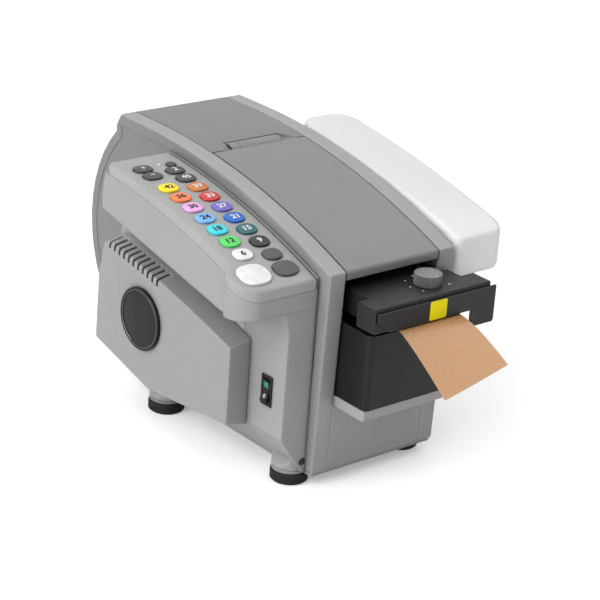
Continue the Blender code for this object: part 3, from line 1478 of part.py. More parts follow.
def flare_under_wing():
    """Slope that carries the switch panel out to the wing's lower edge."""
    drop = FLARE_DROP
    outline = [
        (CORE_LEFT + OVERRUN, WING_LOW_FRONT_Z + OVERRUN),
        (CORE_LEFT + OVERRUN, WING_LOW_FRONT_Z - drop * 3 / 2),
        (CORE_LEFT, WING_LOW_FRONT_Z - drop),
        (CORE_LEFT - drop / 8, WING_LOW_FRONT_Z - drop / 2),
        (CORE_LEFT - drop / 3, WING_LOW_FRONT_Z - drop / 8),
        (CORE_LEFT - drop * 3 / 4, WING_LOW_FRONT_Z + OVERRUN),
    ]
    return prism("wing_flare", outline, "Y", WING_FRONT + FIT * 2, WING_LOW_KNEE_Y)


def foot_boss(label):
    """Round boss over a foot, cut by a slope where it leaves the skirt."""
    x, y = FEET[label]
    boss = rod("boss_" + label, "Z", (x, y, 0.0), PAD_RADIUS, SHELL_Z, BOSS_TOP, 28)
    slope = box(
        "boss_slope",
        (-PAD_RADIUS * 3, -PAD_RADIUS * 2, 0.0),
        (PAD_RADIUS * 3, PAD_RADIUS * 2, PAD_RADIUS * 3),
    )
    slope.data.transform(Matrix.Rotation(math.radians(-BOSS_SLOPE_DEG), 4, "Y"))
    slope.data.transform(Matrix.Translation((x - PAD_RADIUS, y, SHELL_Z + BOSS_WALL)))
    cut(boss, slope)
    return bake(boss)


def switch_pocket():
    """Hole in the switch panel for the body of the power switch."""
    half_y = SWITCH_WIDTH / 2 - SWITCH_EDGE + FIT
    half_z = SWITCH_HEIGHT / 2 - SWITCH_EDGE + FIT
    return box(
        "switch_pocket",
        (CORE_LEFT - OVERRUN, SWITCH_Y - half_y, SWITCH_Z - half_z),
        (CORE_LEFT + SWITCH_BODY + FIT, SWITCH_Y + half_y, SWITCH_Z + half_z),
    )


def inlet_centre_x():
    return (CORE_LEFT + BODY_LEFT) / 2


def inlet_pocket():
    half_x = INLET_WIDTH / 2 - INLET_WALL + FIT
    half_z = INLET_HEIGHT / 2 - INLET_WALL + FIT
    x = inlet_centre_x()
    return box(
        "inlet_pocket",
        (x - half_x, CORE_REAR - INLET_DEPTH - FIT, INLET_Z - half_z),
        (x + half_x, CORE_REAR + OVERRUN, INLET_Z + half_z),
    )


def mains_inlet():
    """Flanged inlet socket with three flat contacts."""
    x = inlet_centre_x()
    half_x = INLET_WIDTH / 2
    half_z = INLET_HEIGHT / 2
    face = CORE_REAR + FIT
    inlet = box("mains_inlet", (x - half_x, face, INLET_Z - half_z), (x + half_x, face + INLET_THICK, INLET_Z + half_z))
    plug_x = half_x - INLET_WALL
    plug_z = half_z - INLET_WALL
    body = box(
        "inlet_body",
        (x - plug_x, CORE_REAR - INLET_DEPTH, INLET_Z - plug_z),
        (x + plug_x, face + FIT, INLET_Z + plug_z),
    )
    hollow_x = plug_x - INLET_WALL
    hollow_z = plug_z - INLET_WALL
    hollow = box(
        "inlet_hollow",
        (x - hollow_x, CORE_REAR - INLET_DEPTH + INLET_WALL, INLET_Z - hollow_z),
        (x + hollow_x, face + INLET_THICK + OVERRUN, INLET_Z + hollow_z),
    )
    cut(fuse(inlet, body), hollow)
    for share in (-0.5, 0.0, 0.5):
        middle = x + hollow_x * share
        contact = box(
            "inlet_contact",
            (middle - INLET_PIN / 2, CORE_REAR - INLET_DEPTH + INLET_WALL / 2, INLET_Z - INLET_PIN * 2),
            (middle + INLET_PIN / 2, CORE_REAR, INLET_Z + INLET_PIN * 2),
        )
        fuse(inlet, contact)
    return paint(inlet, "black_moulding")


def cover_outline():
    """Side view of the bulging cover."""
    front_top = (COVER_FRONT_Y, COVER_FRONT_Z)
    rear_top = (COVER_TOP_Y, COVER_TOP_Z)
    points = [front_top]
    points += bowed(front_top, rear_top, COVER_TOP_BOW, 8)
    points += [
        rear_top,
        (COVER_REAR_TOP_Y, COVER_REAR_TOP_Z),
        (COVER_REAR_Y, COVER_REAR_Z),
        (COVER_REAR_LOW_Y, COVER_REAR_LOW_Z),
        (COVER_KNEE_Y, COVER_KNEE_Z),
        (COVER_FRONT_Y, COVER_FRONT_LOW_Z),
    ]
    return points


def drafted(name, outline, low_x, high_x):
    """The cover's outline with its top and bottom spreading toward the body."""
    piece = prism(name, outline, "X", low_x, high_x)
    middle = (COVER_FRONT_Z + COVER_FRONT_LOW_Z) / 2
    for vert in piece.data.vertices:
        share = (vert.co.x - COVER_LEFT) / (CORE_LEFT - COVER_LEFT)
        vert.co.z += COVER_DRAFT * share * (1 if vert.co.z > middle else -1)
    return piece


def side_cover():
    """Thin bulging cover over the electronics, with a row of vents over its top edge."""
    outline = cover_outline()
    right = CORE_LEFT - FIT
    cover = drafted("side_cover", outline, COVER_LEFT, right)
    bm = bmesh.new()
    bm.from_mesh(cover.data)
    rim = [e for e in bm.edges if all(v.co.x < COVER_LEFT + FIT for v in e.verts)]
    bmesh.ops.bevel(bm, geom=rim, offset=COVER_ROUND / 2, segments=2, profile=0.5, affect="EDGES")
    bm.to_mesh(cover.data)
    bm.free()
    cavity = drafted("cover_cavity", inset_outline(outline, COVER_WALL), COVER_LEFT + COVER_WALL, right + OVERRUN)
    cut(cover, cavity)
    front_top = (COVER_FRONT_Y, COVER_FRONT_Z)
    rear_top = (COVER_TOP_Y, COVER_TOP_Z)
    for number in range(VENT_COUNT):
        y = VENT_FIRST_Y + number * VENT_PITCH
        share = (y - front_top[0]) / (rear_top[0] - front_top[0])
        z = front_top[1] + (rear_top[1] - front_top[1]) * share + 4 * COVER_TOP_BOW * share * (1 - share)
        vent = box(
            "vent_" + str(number + 1),
            (COVER_LEFT - OVERRUN, y - VENT_WIDTH / 2, z - VENT_DROP),
            (VENT_INNER_X, y + VENT_WIDTH / 2, z + VENT_DROP * 2),
        )
        cut(cover, vent)
    return paint(smooth(cover), "body_grey")


def side_badge():
    """Plain round badge with a raised rim."""
    back = COVER_LEFT - FIT
    face = back - BADGE_THICK
    profile = [
        (0.0, back),
        (BADGE_RADIUS, back),
        (BADGE_RADIUS, face + BADGE_RIM / 2),
        (BADGE_RADIUS - BADGE_RIM / 2, face),
        (BADGE_RADIUS - BADGE_RIM, face),
        (BADGE_RADIUS - BADGE_RIM * 3 / 2, face + BADGE_RIM / 4),
        (0.0, face + BADGE_RIM / 4),
    ]
    badge = turned("side_badge", profile, "X", (0.0, BADGE_Y, BADGE_Z), 48)
    return paint(smooth(badge), "black_moulding")


def keypad_bezel():
    """Curved keypad panel: moulded shell with one hole for each key."""
    plan = wing_plan(BEZEL_FRONT, BEZEL_REAR, BEZEL_RIGHT)
    low = DECK_DROP + BEZEL_THICK
    bezel = arc_slab(
        "keypad_bezel", BEZEL_FRONT - OVERRUN, BEZEL_REAR + OVERRUN, DECK_DROP, low, WING_SIDE - OVERRUN, BEZEL_RIGHT
    )
    keep_inside(bezel, prism("bezel_plan", plan, "Z", 0.0, TOP_Z))
    bake(bezel)
    bm = bmesh.new()
    bm.from_mesh(bezel.data)
    bmesh.ops.dissolve_limit(bm, angle_limit=math.radians(0.05), verts=bm.verts, edges=bm.edges)
    rim = [e for e in bm.edges if is_top_rim(e)]
    bmesh.ops.bevel(bm, geom=rim, offset=BEZEL_WALL, segments=2, profile=0.5, affect="EDGES")
    bm.to_mesh(bezel.data)
    bm.free()

    pocket = arc_slab(
        "bezel_pocket",
        BEZEL_FRONT - OVERRUN,
        BEZEL_REAR + OVERRUN,
        DECK_DROP + BEZEL_WALL,
        low + OVERRUN,
        WING_SIDE - OVERRUN,
        BEZEL_RIGHT + OVERRUN,
    )
    keep_inside(pocket, prism("pocket_plan", inset_outline(plan, BEZEL_WALL), "Z", 0.0, TOP_Z))
    cut(bezel, bake(pocket))
    for name, x, y, width, depth in key_places():
        cut(bezel, key_hole(name, x, y, width, depth))
    led_hole = rod("led_hole", "Z", (0.0, 0.0, 0.0), LED_RADIUS + FIT, -BEZEL_THICK, BEZEL_THICK, 16)
    place_on_deck(led_hole, LED_X, LED_Y)
    cut(bezel, led_hole)
    return paint(smooth(bezel), "deck_grey")


def is_top_rim(edge):
    """True for the bezel's upper outer edge, which gets rounded."""
    middle = (edge.verts[0].co + edge.verts[1].co) / 2
    on_top = abs(middle.z - top_height(middle.y, DECK_DROP)) < FIT
    if not on_top or len(edge.link_faces) != 2:
        return False
    return edge.calc_face_angle(0.0) > math.radians(40.0)


def key_places():
    """Name, place and size of every key, from the front row to the rear."""
    places = [
        ("key_start", START_X, START_Y, START_WIDTH, START_DEPTH),
        ("key_select", SELECT_X, SELECT_Y, SELECT_WIDTH, SELECT_DEPTH),
    ]
    left = ["key_6", "key_12", "key_18", "key_24", "key_30", "key_36", "key_42"]
    right = ["key_stop", "key_9", "key_15", "key_21", "key_27", "key_33", "key_39"]
    for row in range(KEY_ROWS):
        y = KEY_ROW_Y + row * KEY_PITCH
        places.append((left[row], KEY_LEFT_X, y, KEY_WIDTH, KEY_DEPTH))
        places.append((right[row], KEY_RIGHT_X, y - KEY_STAGGER, KEY_WIDTH, KEY_DEPTH))
    last = KEY_ROW_Y + (KEY_ROWS - 1) * KEY_PITCH
    fourth = last + KEY_PITCH - KEY_STAGGER
    places.append(("key_45", KEY_RIGHT_X, fourth, KEY_WIDTH, KEY_DEPTH))
    places.append(("key_double", KEY_RIGHT_X, fourth + DOUBLE_STEP, KEY_WIDTH, SLIM_DEPTH))
    places.append(("key_small", KEY_RIGHT_X + SMALL_INSET, fourth + SMALL_STEP, SMALL_WIDTH, SMALL_DEPTH))
    places.append(("key_minus", KEY_LEFT_X, last + MINUS_STEP, KEY_WIDTH, SLIM_DEPTH))
    places.append(("key_plus", KEY_LEFT_X, last + PLUS_STEP, KEY_WIDTH, SLIM_DEPTH))
    return places


def place_on_deck(piece, x, y):
    """Stand a piece on the deck, square to its slope."""
    piece.location = (x, y, top_height(y, DECK_DROP))
    piece.rotation_euler = (top_slope(y), 0.0, 0.0)
    return piece


def key_shape(name, width, depth, profile, steps):
    """A unit turned profile drawn out to the key's squared oval."""
    piece = turned(name, profile, "Z", (0.0, 0.0, 0.0), steps)
    for vert in piece.data.vertices:
        radius = math.hypot(vert.co.x, vert.co.y)
        if radius > 0:
            across = abs(vert.co.x / radius) ** KEY_SQUARE_share
            along = abs(vert.co.y / radius) ** KEY_SQUARE_share
            vert.co.x = math.copysign(radius * across * width / 2, vert.co.x)
            vert.co.y = math.copysign(radius * along * depth / 2, vert.co.y)
    return piece


def key_hole(name, x, y, width, depth):
    profile = [(0.0, BEZEL_THICK), (1.0, BEZEL_THICK), (1.0, -BEZEL_THICK), (0.0, -BEZEL_THICK)]
    hole = key_shape(name + "_hole", width + FIT * 2, depth + FIT * 2, profile, KEY_STEPS)
    return place_on_deck(hole, x, y)


def keys():
    """Every key as its own piece, standing in its hole."""
    for name, x, y, width, depth in key_places():
        crown = KEY_RISE - KEY_CROWN
        profile = [(0.0, KEY_RISE), (KEY_FLAT_share, KEY_RISE - KEY_CROWN / 6)]
        profile.append((KEY_SHOULDER_share, KEY_RISE - KEY_CROWN / 2))
        profile += [(1.0, crown), (1.0, -KEY_ROOT), (0.0, -KEY_ROOT)]
        key = key_shape(name, width, depth, profile, KEY_STEPS)
        place_on_deck(key, x, y)
        paint(smooth(key, 40.0), "black_moulding", KEY_COLOURS[name])


def status_led():
    profile = [
        (0.0, LED_RADIUS / 2),
        (LED_RADIUS * 0.7, LED_RADIUS / 3),
        (LED_RADIUS, 0.0),
        (LED_RADIUS, -KEY_ROOT),
        (0.0, -KEY_ROOT),
    ]
    led = turned("status_led", profile, "Z", (0.0, 0.0, 0.0), 16)
    place_on_deck(led, LED_X, LED_Y)
    return paint(smooth(led), "lamp_red")


def power_switch():
    """Flanged switch body and the rocker that tilts in it."""
    half_y = SWITCH_WIDTH / 2
    half_z = SWITCH_HEIGHT / 2
    face = CORE_LEFT - FIT
    flange = box(
        "switch_bezel",
        (face - SWITCH_FLANGE, SWITCH_Y - half_y, SWITCH_Z - half_z),
        (face, SWITCH_Y + half_y, SWITCH_Z + half_z),
    )
    body_y = half_y - SWITCH_EDGE
    body_z = half_z - SWITCH_EDGE
    body = box(
        "switch_body",
        (face - FIT, SWITCH_Y - body_y, SWITCH_Z - body_z),
        (CORE_LEFT + SWITCH_BODY, SWITCH_Y + body_y, SWITCH_Z + body_z),
    )
    hole = box(
        "rocker_hole",
        (face - SWITCH_FLANGE - OVERRUN, SWITCH_Y - body_y + SWITCH_WALL, SWITCH_Z - body_z + SWITCH_WALL),
        (CORE_LEFT + SWITCH_BODY - SWITCH_WALL, SWITCH_Y + body_y - SWITCH_WALL, SWITCH_Z + body_z - SWITCH_WALL),
    )
    paint(cut(fuse(flange, body), hole), "black_moulding")

    pivot = (CORE_LEFT + ROCKER_PROUD, SWITCH_Y, SWITCH_Z)
    high = ROCKER_HALF_HEIGHT
    front = -ROCKER_PROUD * 2 - SWITCH_FLANGE
    outline = [(front, -high)]
    outline += [(front + ROCKER_DISH * (1 - (step / 4) ** 2), high * step / 4) for step in range(-3, 4)]
    outline += [(front, high), (0.0, high), (ROCKER_PROUD * 2, high / 3), (ROCKER_PROUD * 2, -high / 3), (0.0, -high)]
    half = body_y - SWITCH_WALL - FIT
    rocker = prism("power_rocker", outline, "Y", -half, half)
    rocker.location = pivot
    rocker.rotation_euler = (0.0, math.radians(ROCKER_TILT_DEG), 0.0)
    return paint(smooth(rocker), "black_moulding")


def bottle_height(y):
    return BOTTLE_APEX_Z - BOTTLE_ARC + math.sqrt(BOTTLE_ARC ** 2 - (BOTTLE_APEX_Y - y) ** 2)


def bottle_block(name, inset):
    """The bottle's outer or inner form."""
    front = BOTTLE_FRONT + inset
    rear = BOTTLE_REAR - inset
    outline = [(front, BOTTLE_Z + inset)]
    for step in range(11):
        y = front + (rear - front) * step / 10
        outline.append((y, bottle_height(y) - inset))
    outline.append((rear, BOTTLE_Z + inset))
    block = prism(name, outline, "X", BOTTLE_LEFT + inset, BOTTLE_RIGHT - inset)
    plan = [
        (BOTTLE_LEFT + inset, front),
        (BOTTLE_RIGHT - inset, front),
        (BOTTLE_RIGHT - inset, rear),
        (BOTTLE_LEFT + inset, rear),
    ]
    radii = [BOTTLE_FRONT_ROUND, BOTTLE_FRONT_ROUND * 2, BOTTLE_PLAN_ROUND, BOTTLE_PLAN_ROUND]
    keep_inside(block, prism(name + "_plan", rounded(plan, radii, 5), "Z", 0.0, TOP_Z * 2))
    bake(block)
    return round_edges(block, BOTTLE_ROUND - inset, 2)


def water_bottle():
    """Blown bottle with thin walls, lying along the body with its neck down."""
    bottle = bottle_block("water_bottle", 0.0)
    neck_at = (NECK_X, NECK_Y, 0.0)
    low = BOTTLE_Z - NECK_LENGTH
    fuse(bottle, rod("bottle_neck", "Z", neck_at, NECK_RADIUS, low, BOTTLE_Z + BOTTLE_WALL, 28))
    cut(bottle, bake(bottle_block("bottle_inside", BOTTLE_WALL)))
    mouth = rod("bottle_mouth", "Z", neck_at, NECK_RADIUS - BOTTLE_WALL, low - OVERRUN, BOTTLE_Z + OVERRUN * 2, 28)
    cut(bottle, mouth)
    return paint(smooth(bottle), "clear_bottle")


def bottle_cap():
    """Screw cap with a valve stem in its middle."""
    inner = NECK_RADIUS + FIT
    outer = inner + CAP_WALL
    top = BOTTLE_Z - FIT - CAP_VALVE / 2
    floor = BOTTLE_Z - NECK_LENGTH - FIT
    low = floor - CAP_WALL
    profile = [
        (inner, top),
        (outer, top),
        (outer, low),
        (CAP_VALVE, low),
        (CAP_VALVE, low - CAP_VALVE / 2),
        (0.0, low - CAP_VALVE / 2),
    ]
    profile += [(0.0, floor)]
    profile = [(0.0, floor), (inner, floor)] + profile[:-1]
    cap = turned("bottle_cap", profile, "Z", (NECK_X, NECK_Y, 0.0), 32)
    return paint(smooth(cap), "black_moulding")


def build():
    start_scene()
    base_plate()
    rubber_feet()
    left_body_shell()
    right_body_shell()
    front_panel()
    tape_basket()
    feed_frame()
    feed_drive()
    cutter()
    tape()
    water_tank()
    brush_set()
    heater_head()
    front_cover()
    rear_lid()
    control_housing()
    side_cover()
    side_badge()
    mains_inlet()
    keypad_bezel()
    keys()
    status_led()
    power_switch()
    water_bottle()
    bottle_cap()


build()
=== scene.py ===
import json
import math

import bmesh
import bpy
from mathutils import Matrix, Vector

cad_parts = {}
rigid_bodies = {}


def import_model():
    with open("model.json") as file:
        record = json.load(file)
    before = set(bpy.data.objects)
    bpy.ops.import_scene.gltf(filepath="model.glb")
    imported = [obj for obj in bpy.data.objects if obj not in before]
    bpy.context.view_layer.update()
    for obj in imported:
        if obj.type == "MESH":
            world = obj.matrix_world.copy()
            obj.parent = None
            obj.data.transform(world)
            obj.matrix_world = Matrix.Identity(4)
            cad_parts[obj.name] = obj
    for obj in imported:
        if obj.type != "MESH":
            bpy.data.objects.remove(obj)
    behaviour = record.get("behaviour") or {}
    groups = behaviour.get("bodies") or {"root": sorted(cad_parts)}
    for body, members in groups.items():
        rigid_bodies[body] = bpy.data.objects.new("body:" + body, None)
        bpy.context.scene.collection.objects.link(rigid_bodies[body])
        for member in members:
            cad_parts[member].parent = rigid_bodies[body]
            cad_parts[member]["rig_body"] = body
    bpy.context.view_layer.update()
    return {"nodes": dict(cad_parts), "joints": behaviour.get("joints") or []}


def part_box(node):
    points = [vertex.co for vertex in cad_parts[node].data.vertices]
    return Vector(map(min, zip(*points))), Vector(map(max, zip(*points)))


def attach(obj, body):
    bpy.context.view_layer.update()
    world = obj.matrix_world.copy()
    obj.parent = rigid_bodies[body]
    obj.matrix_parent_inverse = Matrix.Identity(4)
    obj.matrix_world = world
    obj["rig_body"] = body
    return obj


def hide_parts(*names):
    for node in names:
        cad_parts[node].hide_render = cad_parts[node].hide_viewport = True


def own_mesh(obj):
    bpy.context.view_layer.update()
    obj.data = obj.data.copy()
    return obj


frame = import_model()
cadNodes = frame["nodes"]
jointOf = {joint["child"]: joint for joint in frame["joints"]}
bodyOf = {name: node["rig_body"] for name, node in cadNodes.items()}
print("frame loaded with", len(cadNodes), "nodes")


# Small helpers for shader trees.


def newFinish(name):
    finish = bpy.data.materials.new(name)
    finish.use_nodes = True
    tree = finish.node_tree
    return finish, tree, tree.nodes["Principled BSDF"]


def feed(tree, node, sockets):  # a socket given as a value is linked, anything else is set
    for key, value in sockets.items():
        if isinstance(value, bpy.types.NodeSocket):
            tree.links.new(value, node.inputs[key])
        else:
            node.inputs[key].default_value = value


def put(tree, kind, sockets=None, **settings):
    node = tree.nodes.new(kind)
    for key, value in settings.items():
        setattr(node, key, value)
    feed(tree, node, sockets or {})
    return node


def maths(tree, operation, first, second=0.5):
    return put(tree, "ShaderNodeMath", {0: first, 1: second}, operation=operation).outputs[0]


def vectorMaths(tree, operation, first, second=(0.0, 0.0, 0.0), result="Vector"):
    return put(tree, "ShaderNodeVectorMath", {0: first, 1: second}, operation=operation).outputs[result]


def partsOf(tree, vector):
    return put(tree, "ShaderNodeSeparateXYZ", {"Vector": vector}).outputs


def noiseOf(tree, place, scale, detail=3.0, stretch=None):
    if stretch:
        place = put(tree, "ShaderNodeMapping", {"Vector": place, "Scale": stretch}).outputs["Vector"]
    sockets = {"Vector": place, "Scale": scale, "Detail": detail}
    return put(tree, "ShaderNodeTexNoise", sockets).outputs["Fac"]


def toneRamp(tree, factor, darker, lighter, low=0.32, high=0.68):
    ramp = put(tree, "ShaderNodeValToRGB", {"Fac": factor})
    first, last = ramp.color_ramp.elements
    first.position, last.position = low, high
    first.color = (*darker, 1.0)
    last.color = (*lighter, 1.0)
    return ramp.outputs["Color"]


def spread(tree, factor, low, high, fromLow=0.3, fromHigh=0.7):
    sockets = {"Value": factor, "From Min": fromLow, "From Max": fromHigh, "To Min": low, "To Max": high}
    return put(tree, "ShaderNodeMapRange", sockets).outputs["Result"]


def blendColour(tree, factor, base, over, blend="MIX"):
    sockets = {0: factor, 6: base, 7: over}
    return put(tree, "ShaderNodeMix", sockets, data_type="RGBA", blend_type=blend).outputs[2]


def shade(colour, share):
    return tuple(min(1.0, channel * share) for channel in colour)


def objectPlace(tree):
    return put(tree, "ShaderNodeTexCoord").outputs["Object"]


edgeLook = dict(samples=6, flat=0.995, bent=0.86)  # flat and bent: how well the two normals match


def softEdges(tree, radius):  # a normal that rounds the edges, and where it leaves the true one
    rounded = put(tree, "ShaderNodeBevel", {"Radius": radius}, samples=edgeLook["samples"]).outputs["Normal"]
    true = put(tree, "ShaderNodeNewGeometry").outputs["Normal"]
    match = vectorMaths(tree, "DOT_PRODUCT", rounded, true, "Value")
    return rounded, spread(tree, match, 0.0, 1.0, edgeLook["flat"], edgeLook["bent"])


def grooved(tree, colour, reach, share):  # painted shade in deep corners and under overhangs, with a little dust: occlusion darkens the colour
    sockets = {"Color": colour, "Distance": reach}
    shadeAndDust = put(tree, "ShaderNodeAmbientOcclusion", sockets, samples=4).outputs["Color"]
    return blendColour(tree, share, colour, shadeAndDust)


def bumped(tree, height, depth, normal=None):
    sockets = {"Height": height, "Distance": depth}
    if normal is not None:
        sockets["Normal"] = normal
    return put(tree, "ShaderNodeBump", sockets).outputs["Normal"]


def linkSurface(tree, shader, colour, gloss, height, depth, normal=None):
    texture = bumped(tree, height, depth, normal)
    feed(tree, shader, {"Base Color": colour, "Roughness": gloss, "Normal": texture})


def centreOf(node):
    low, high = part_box(node)
    return (low + high) / 2


# Moulded plastics. Drift is the slow change of tone, grain and depth are the spark-eroded texture, and edge
# wear
# is the lighter tone on edges: partly polish from wear, partly a painted highlight.


def moulded(colour, edge, wearAndSheen, drift, grain, depth, gloss, shine):
    texture = dict(drift=drift, grain=grain, depth=depth, gloss=gloss, shine=shine)
    return dict(colour=colour, edge=edge, wearAndSheen=wearAndSheen, **texture)


mouldedLooks = {  # colour, edge radius, edge wear and painted highlight, drift, grain, depth, gloss range, shine
    "bodyGrey": moulded((0.312, 0.310, 0.305), 0.0022, 0.50, 0.02, 900, 0.00006, (0.42, 0.52), 0.50),
    "sideGrey": moulded((0.282, 0.280, 0.276), 0.0020, 0.95, 0.02, 900, 0.00006, (0.42, 0.52), 0.50),
    "housingGrey": moulded((0.300, 0.298, 0.293), 0.0040, 0.30, 0.02, 900, 0.00006, (0.42, 0.52), 0.50),
    "coverGrey": moulded((0.190, 0.189, 0.187), 0.0016, 0.20, 0.02, 650, 0.00006, (0.34, 0.44), 0.50),
    # the tape basket's grey is a darker copy of the body grey: painted shade from the wing above it
    "basketShadeGrey": moulded((0.120, 0.119, 0.117), 0.0010, 0.34, 0.03, 900, 0.00006, (0.44, 0.54), 0.50),
    "lidGrey": moulded((0.166, 0.165, 0.163), 0.0008, 0.16, 0.02, 650, 0.00006, (0.34, 0.44), 0.50),
    "deckGrey": moulded((0.335, 0.335, 0.331), 0.0007, 0.30, 0.02, 900, 0.00004, (0.38, 0.46), 0.50),
    "headBlack": moulded((0.017, 0.017, 0.018), 0.0009, 0.16, 0.12, 700, 0.00016, (0.42, 0.54), 0.30),
    "tankBlack": moulded((0.010, 0.010, 0.011), 0.0006, 0.05, 0.15, 1500, 0.00003, (0.26, 0.38), 0.26),
    "switchBlack": moulded((0.008, 0.008, 0.009), 0.0004, 0.04, 0.15, 2000, 0.00002, (0.22, 0.32), 0.30),
    "knobGrey": moulded((0.185, 0.185, 0.182), 0.0002, 0.45, 0.06, 1400, 0.00004, (0.40, 0.50), 0.50),
    "capBlack": moulded((0.014, 0.014, 0.015), 0.0005, 0.05, 0.20, 1400, 0.00004, (0.36, 0.48), 0.35),
    "footRubber": moulded((0.009, 0.009, 0.009), 0.0008, 0.05, 0.30, 700, 0.00012, (0.60, 0.76), 0.30),
    "rollerRubber": moulded((0.020, 0.019, 0.018), 0.0004, 0.08, 0.25, 1600, 0.00008, (0.55, 0.70), 0.40),
    "brushNylon": moulded((0.045, 0.039, 0.033), 0.0001, 0.10, 0.35, 2200, 0.00004, (0.35, 0.50), 0.40),
    "legendBlack": moulded((0.008, 0.008, 0.008), 0.0001, 0.00, 0.20, 3000, 0.00001, (0.50, 0.60), 0.20),
    "legendWhite": moulded((0.72, 0.72, 0.71), 0.0001, 0.00, 0.03, 3000, 0.00001, (0.50, 0.60), 0.30),
    "labelYellow": moulded((0.93, 0.81, 0.001), 0.0001, 0.00, 0.03, 1800, 0.00002, (0.30, 0.40), 0.12),
}
# Edge lightening here is partly wear and partly a painted highlight; the corner reaches and shares give
# painted shade in corners and under overhangs.
plasticLook = dict(
    cloud=14.0, speck=0.91, speckRange=(0.36, 0.60), wearSheenPatches=160.0, wearSheenLeast=0.2, polishAndSheen=0.5, polishedAndLit=0.85,
    glossCloud=45.0, corners=((0.030, 0.26), (0.006, 0.55)),
)

# Painted shade and a little dust in the parting lines: the finish, and the low (0) or high (1) edge of a node
# along x.
edgeSeams = {"coverGrey": [("front_cover", 0), ("front_cover", 1)], "deckGrey": [("keypad_bezel", 1)]}
seamLook = dict(width=0.0012, core=0.6, share=0.88, dark=(0.02, 0.02, 0.02, 1.0))

# Painted shade on the outer face of the left body, under the wing, darkest towards the rear.
outerShadeLook = dict(
    finish="bodyGrey", edge=-0.0688, soft=0.0004, front=0.22, rear=0.50, frontY=-0.02, rearY=0.10,
    dark=(0.05, 0.05, 0.049, 1.0),
)


def seamShade(tree, place, colour, node, end):
    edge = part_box(node)[end].x
    away = maths(tree, "ABSOLUTE", maths(tree, "SUBTRACT", partsOf(tree, place)["X"], edge))
    near = spread(tree, away, seamLook["share"], 0.0, seamLook["width"] * seamLook["core"], seamLook["width"])
    return blendColour(tree, near, colour, seamLook["dark"])


def outerShade(tree, place, colour):
    parts = partsOf(tree, place)
    outside = spread(tree, parts["X"], 1.0, 0.0, outerShadeLook["edge"], outerShadeLook["edge"] + outerShadeLook["soft"])
    share = spread(
        tree, parts["Y"], outerShadeLook["front"], outerShadeLook["rear"], outerShadeLook["frontY"], outerShadeLook["rearY"],
    )
    return blendColour(tree, maths(tree, "MULTIPLY", outside, share), colour, outerShadeLook["dark"])


def mouldedFinish(name, look):
    p = plasticLook
    finish, tree, shader = newFinish(name)
    place = objectPlace(tree)
    cloud = noiseOf(tree, place, p["cloud"], 4.0)
    speck = noiseOf(tree, place, look["grain"], 2.0)
    darker, lighter = (shade(look["colour"], 1 + way * look["drift"]) for way in (-1, 1))
    tiny = toneRamp(tree, speck, (p["speck"],) * 3, (1.0,) * 3, *p["speckRange"])
    colour = blendColour(tree, 1.0, toneRamp(tree, cloud, darker, lighter), tiny, "MULTIPLY")
    normal, edge = softEdges(tree, look["edge"])
    wearSheenPatches = spread(tree, noiseOf(tree, place, p["wearSheenPatches"]), p["wearSheenLeast"], 1.0)
    # edges lighten towards a paler tone: partly polish from wear, partly a painted highlight
    rubbedAndLit = maths(tree, "MULTIPLY", maths(tree, "MULTIPLY", edge, wearSheenPatches), look["wearAndSheen"])
    polishedAndLit = tuple(channel + (p["polishedAndLit"] - channel) * p["polishAndSheen"] for channel in look["colour"])
    colour = blendColour(tree, rubbedAndLit, colour, (*polishedAndLit, 1.0))
    # painted shade in corners and, with the wide reach, under overhangs such as the wing
    for reach, share in p["corners"]:
        colour = grooved(tree, colour, reach, share)
    # painted shade on the left body's outer face, under the wing
    if name == outerShadeLook["finish"]:
        colour = outerShade(tree, place, colour)
    # painted shade beside the parting lines, widening the dark of the gaps
    for node, end in edgeSeams.get(name, ()):
        colour = seamShade(tree, place, colour, node, end)
    gloss = spread(tree, noiseOf(tree, place, p["glossCloud"]), *look["gloss"])
    linkSurface(tree, shader, colour, gloss, speck, look["depth"], normal)
    feed(tree, shader, {"Specular IOR Level": look["shine"]})
    return finish


# Key caps: two-shot moulded colours with a light gloss.

keyColours = {
    "keyYellow": (0.93, 0.72, 0.014),
    "keyOrange": (0.86, 0.215, 0.075),
    "keyPink": (0.79, 0.40, 0.72),
    "keySky": (0.17, 0.44, 0.80),
    "keyCyan": (0.040, 0.62, 0.72),
    "keyGreen": (0.080, 0.64, 0.12),
    "keyWhite": (0.76, 0.76, 0.75),
    "keyAmber": (0.55, 0.18, 0.034),
    "keyRed": (0.56, 0.026, 0.032),
    "keyViolet": (0.15, 0.125, 0.46),
    "keyBlue": (0.006, 0.115, 0.48),
    "keyTeal": (0.014, 0.108, 0.125),
    "keyBlack": (0.010, 0.010, 0.011),
    "keyGrey": (0.060, 0.060, 0.060),
    "keyDark": (0.036, 0.036, 0.037),
}
keySurface = dict(
    cloud=120.0, grain=1900.0, drift=(0.93, 1.07), edge=0.0005, rubbedAndLit=0.35, bright=0.45, brightest=0.9,
    corner=(0.004, 0.5), glossCloud=260.0, gloss=(0.30, 0.46), depth=0.00003, soft=0.06, softReach=0.002,
    shine=0.38,
)


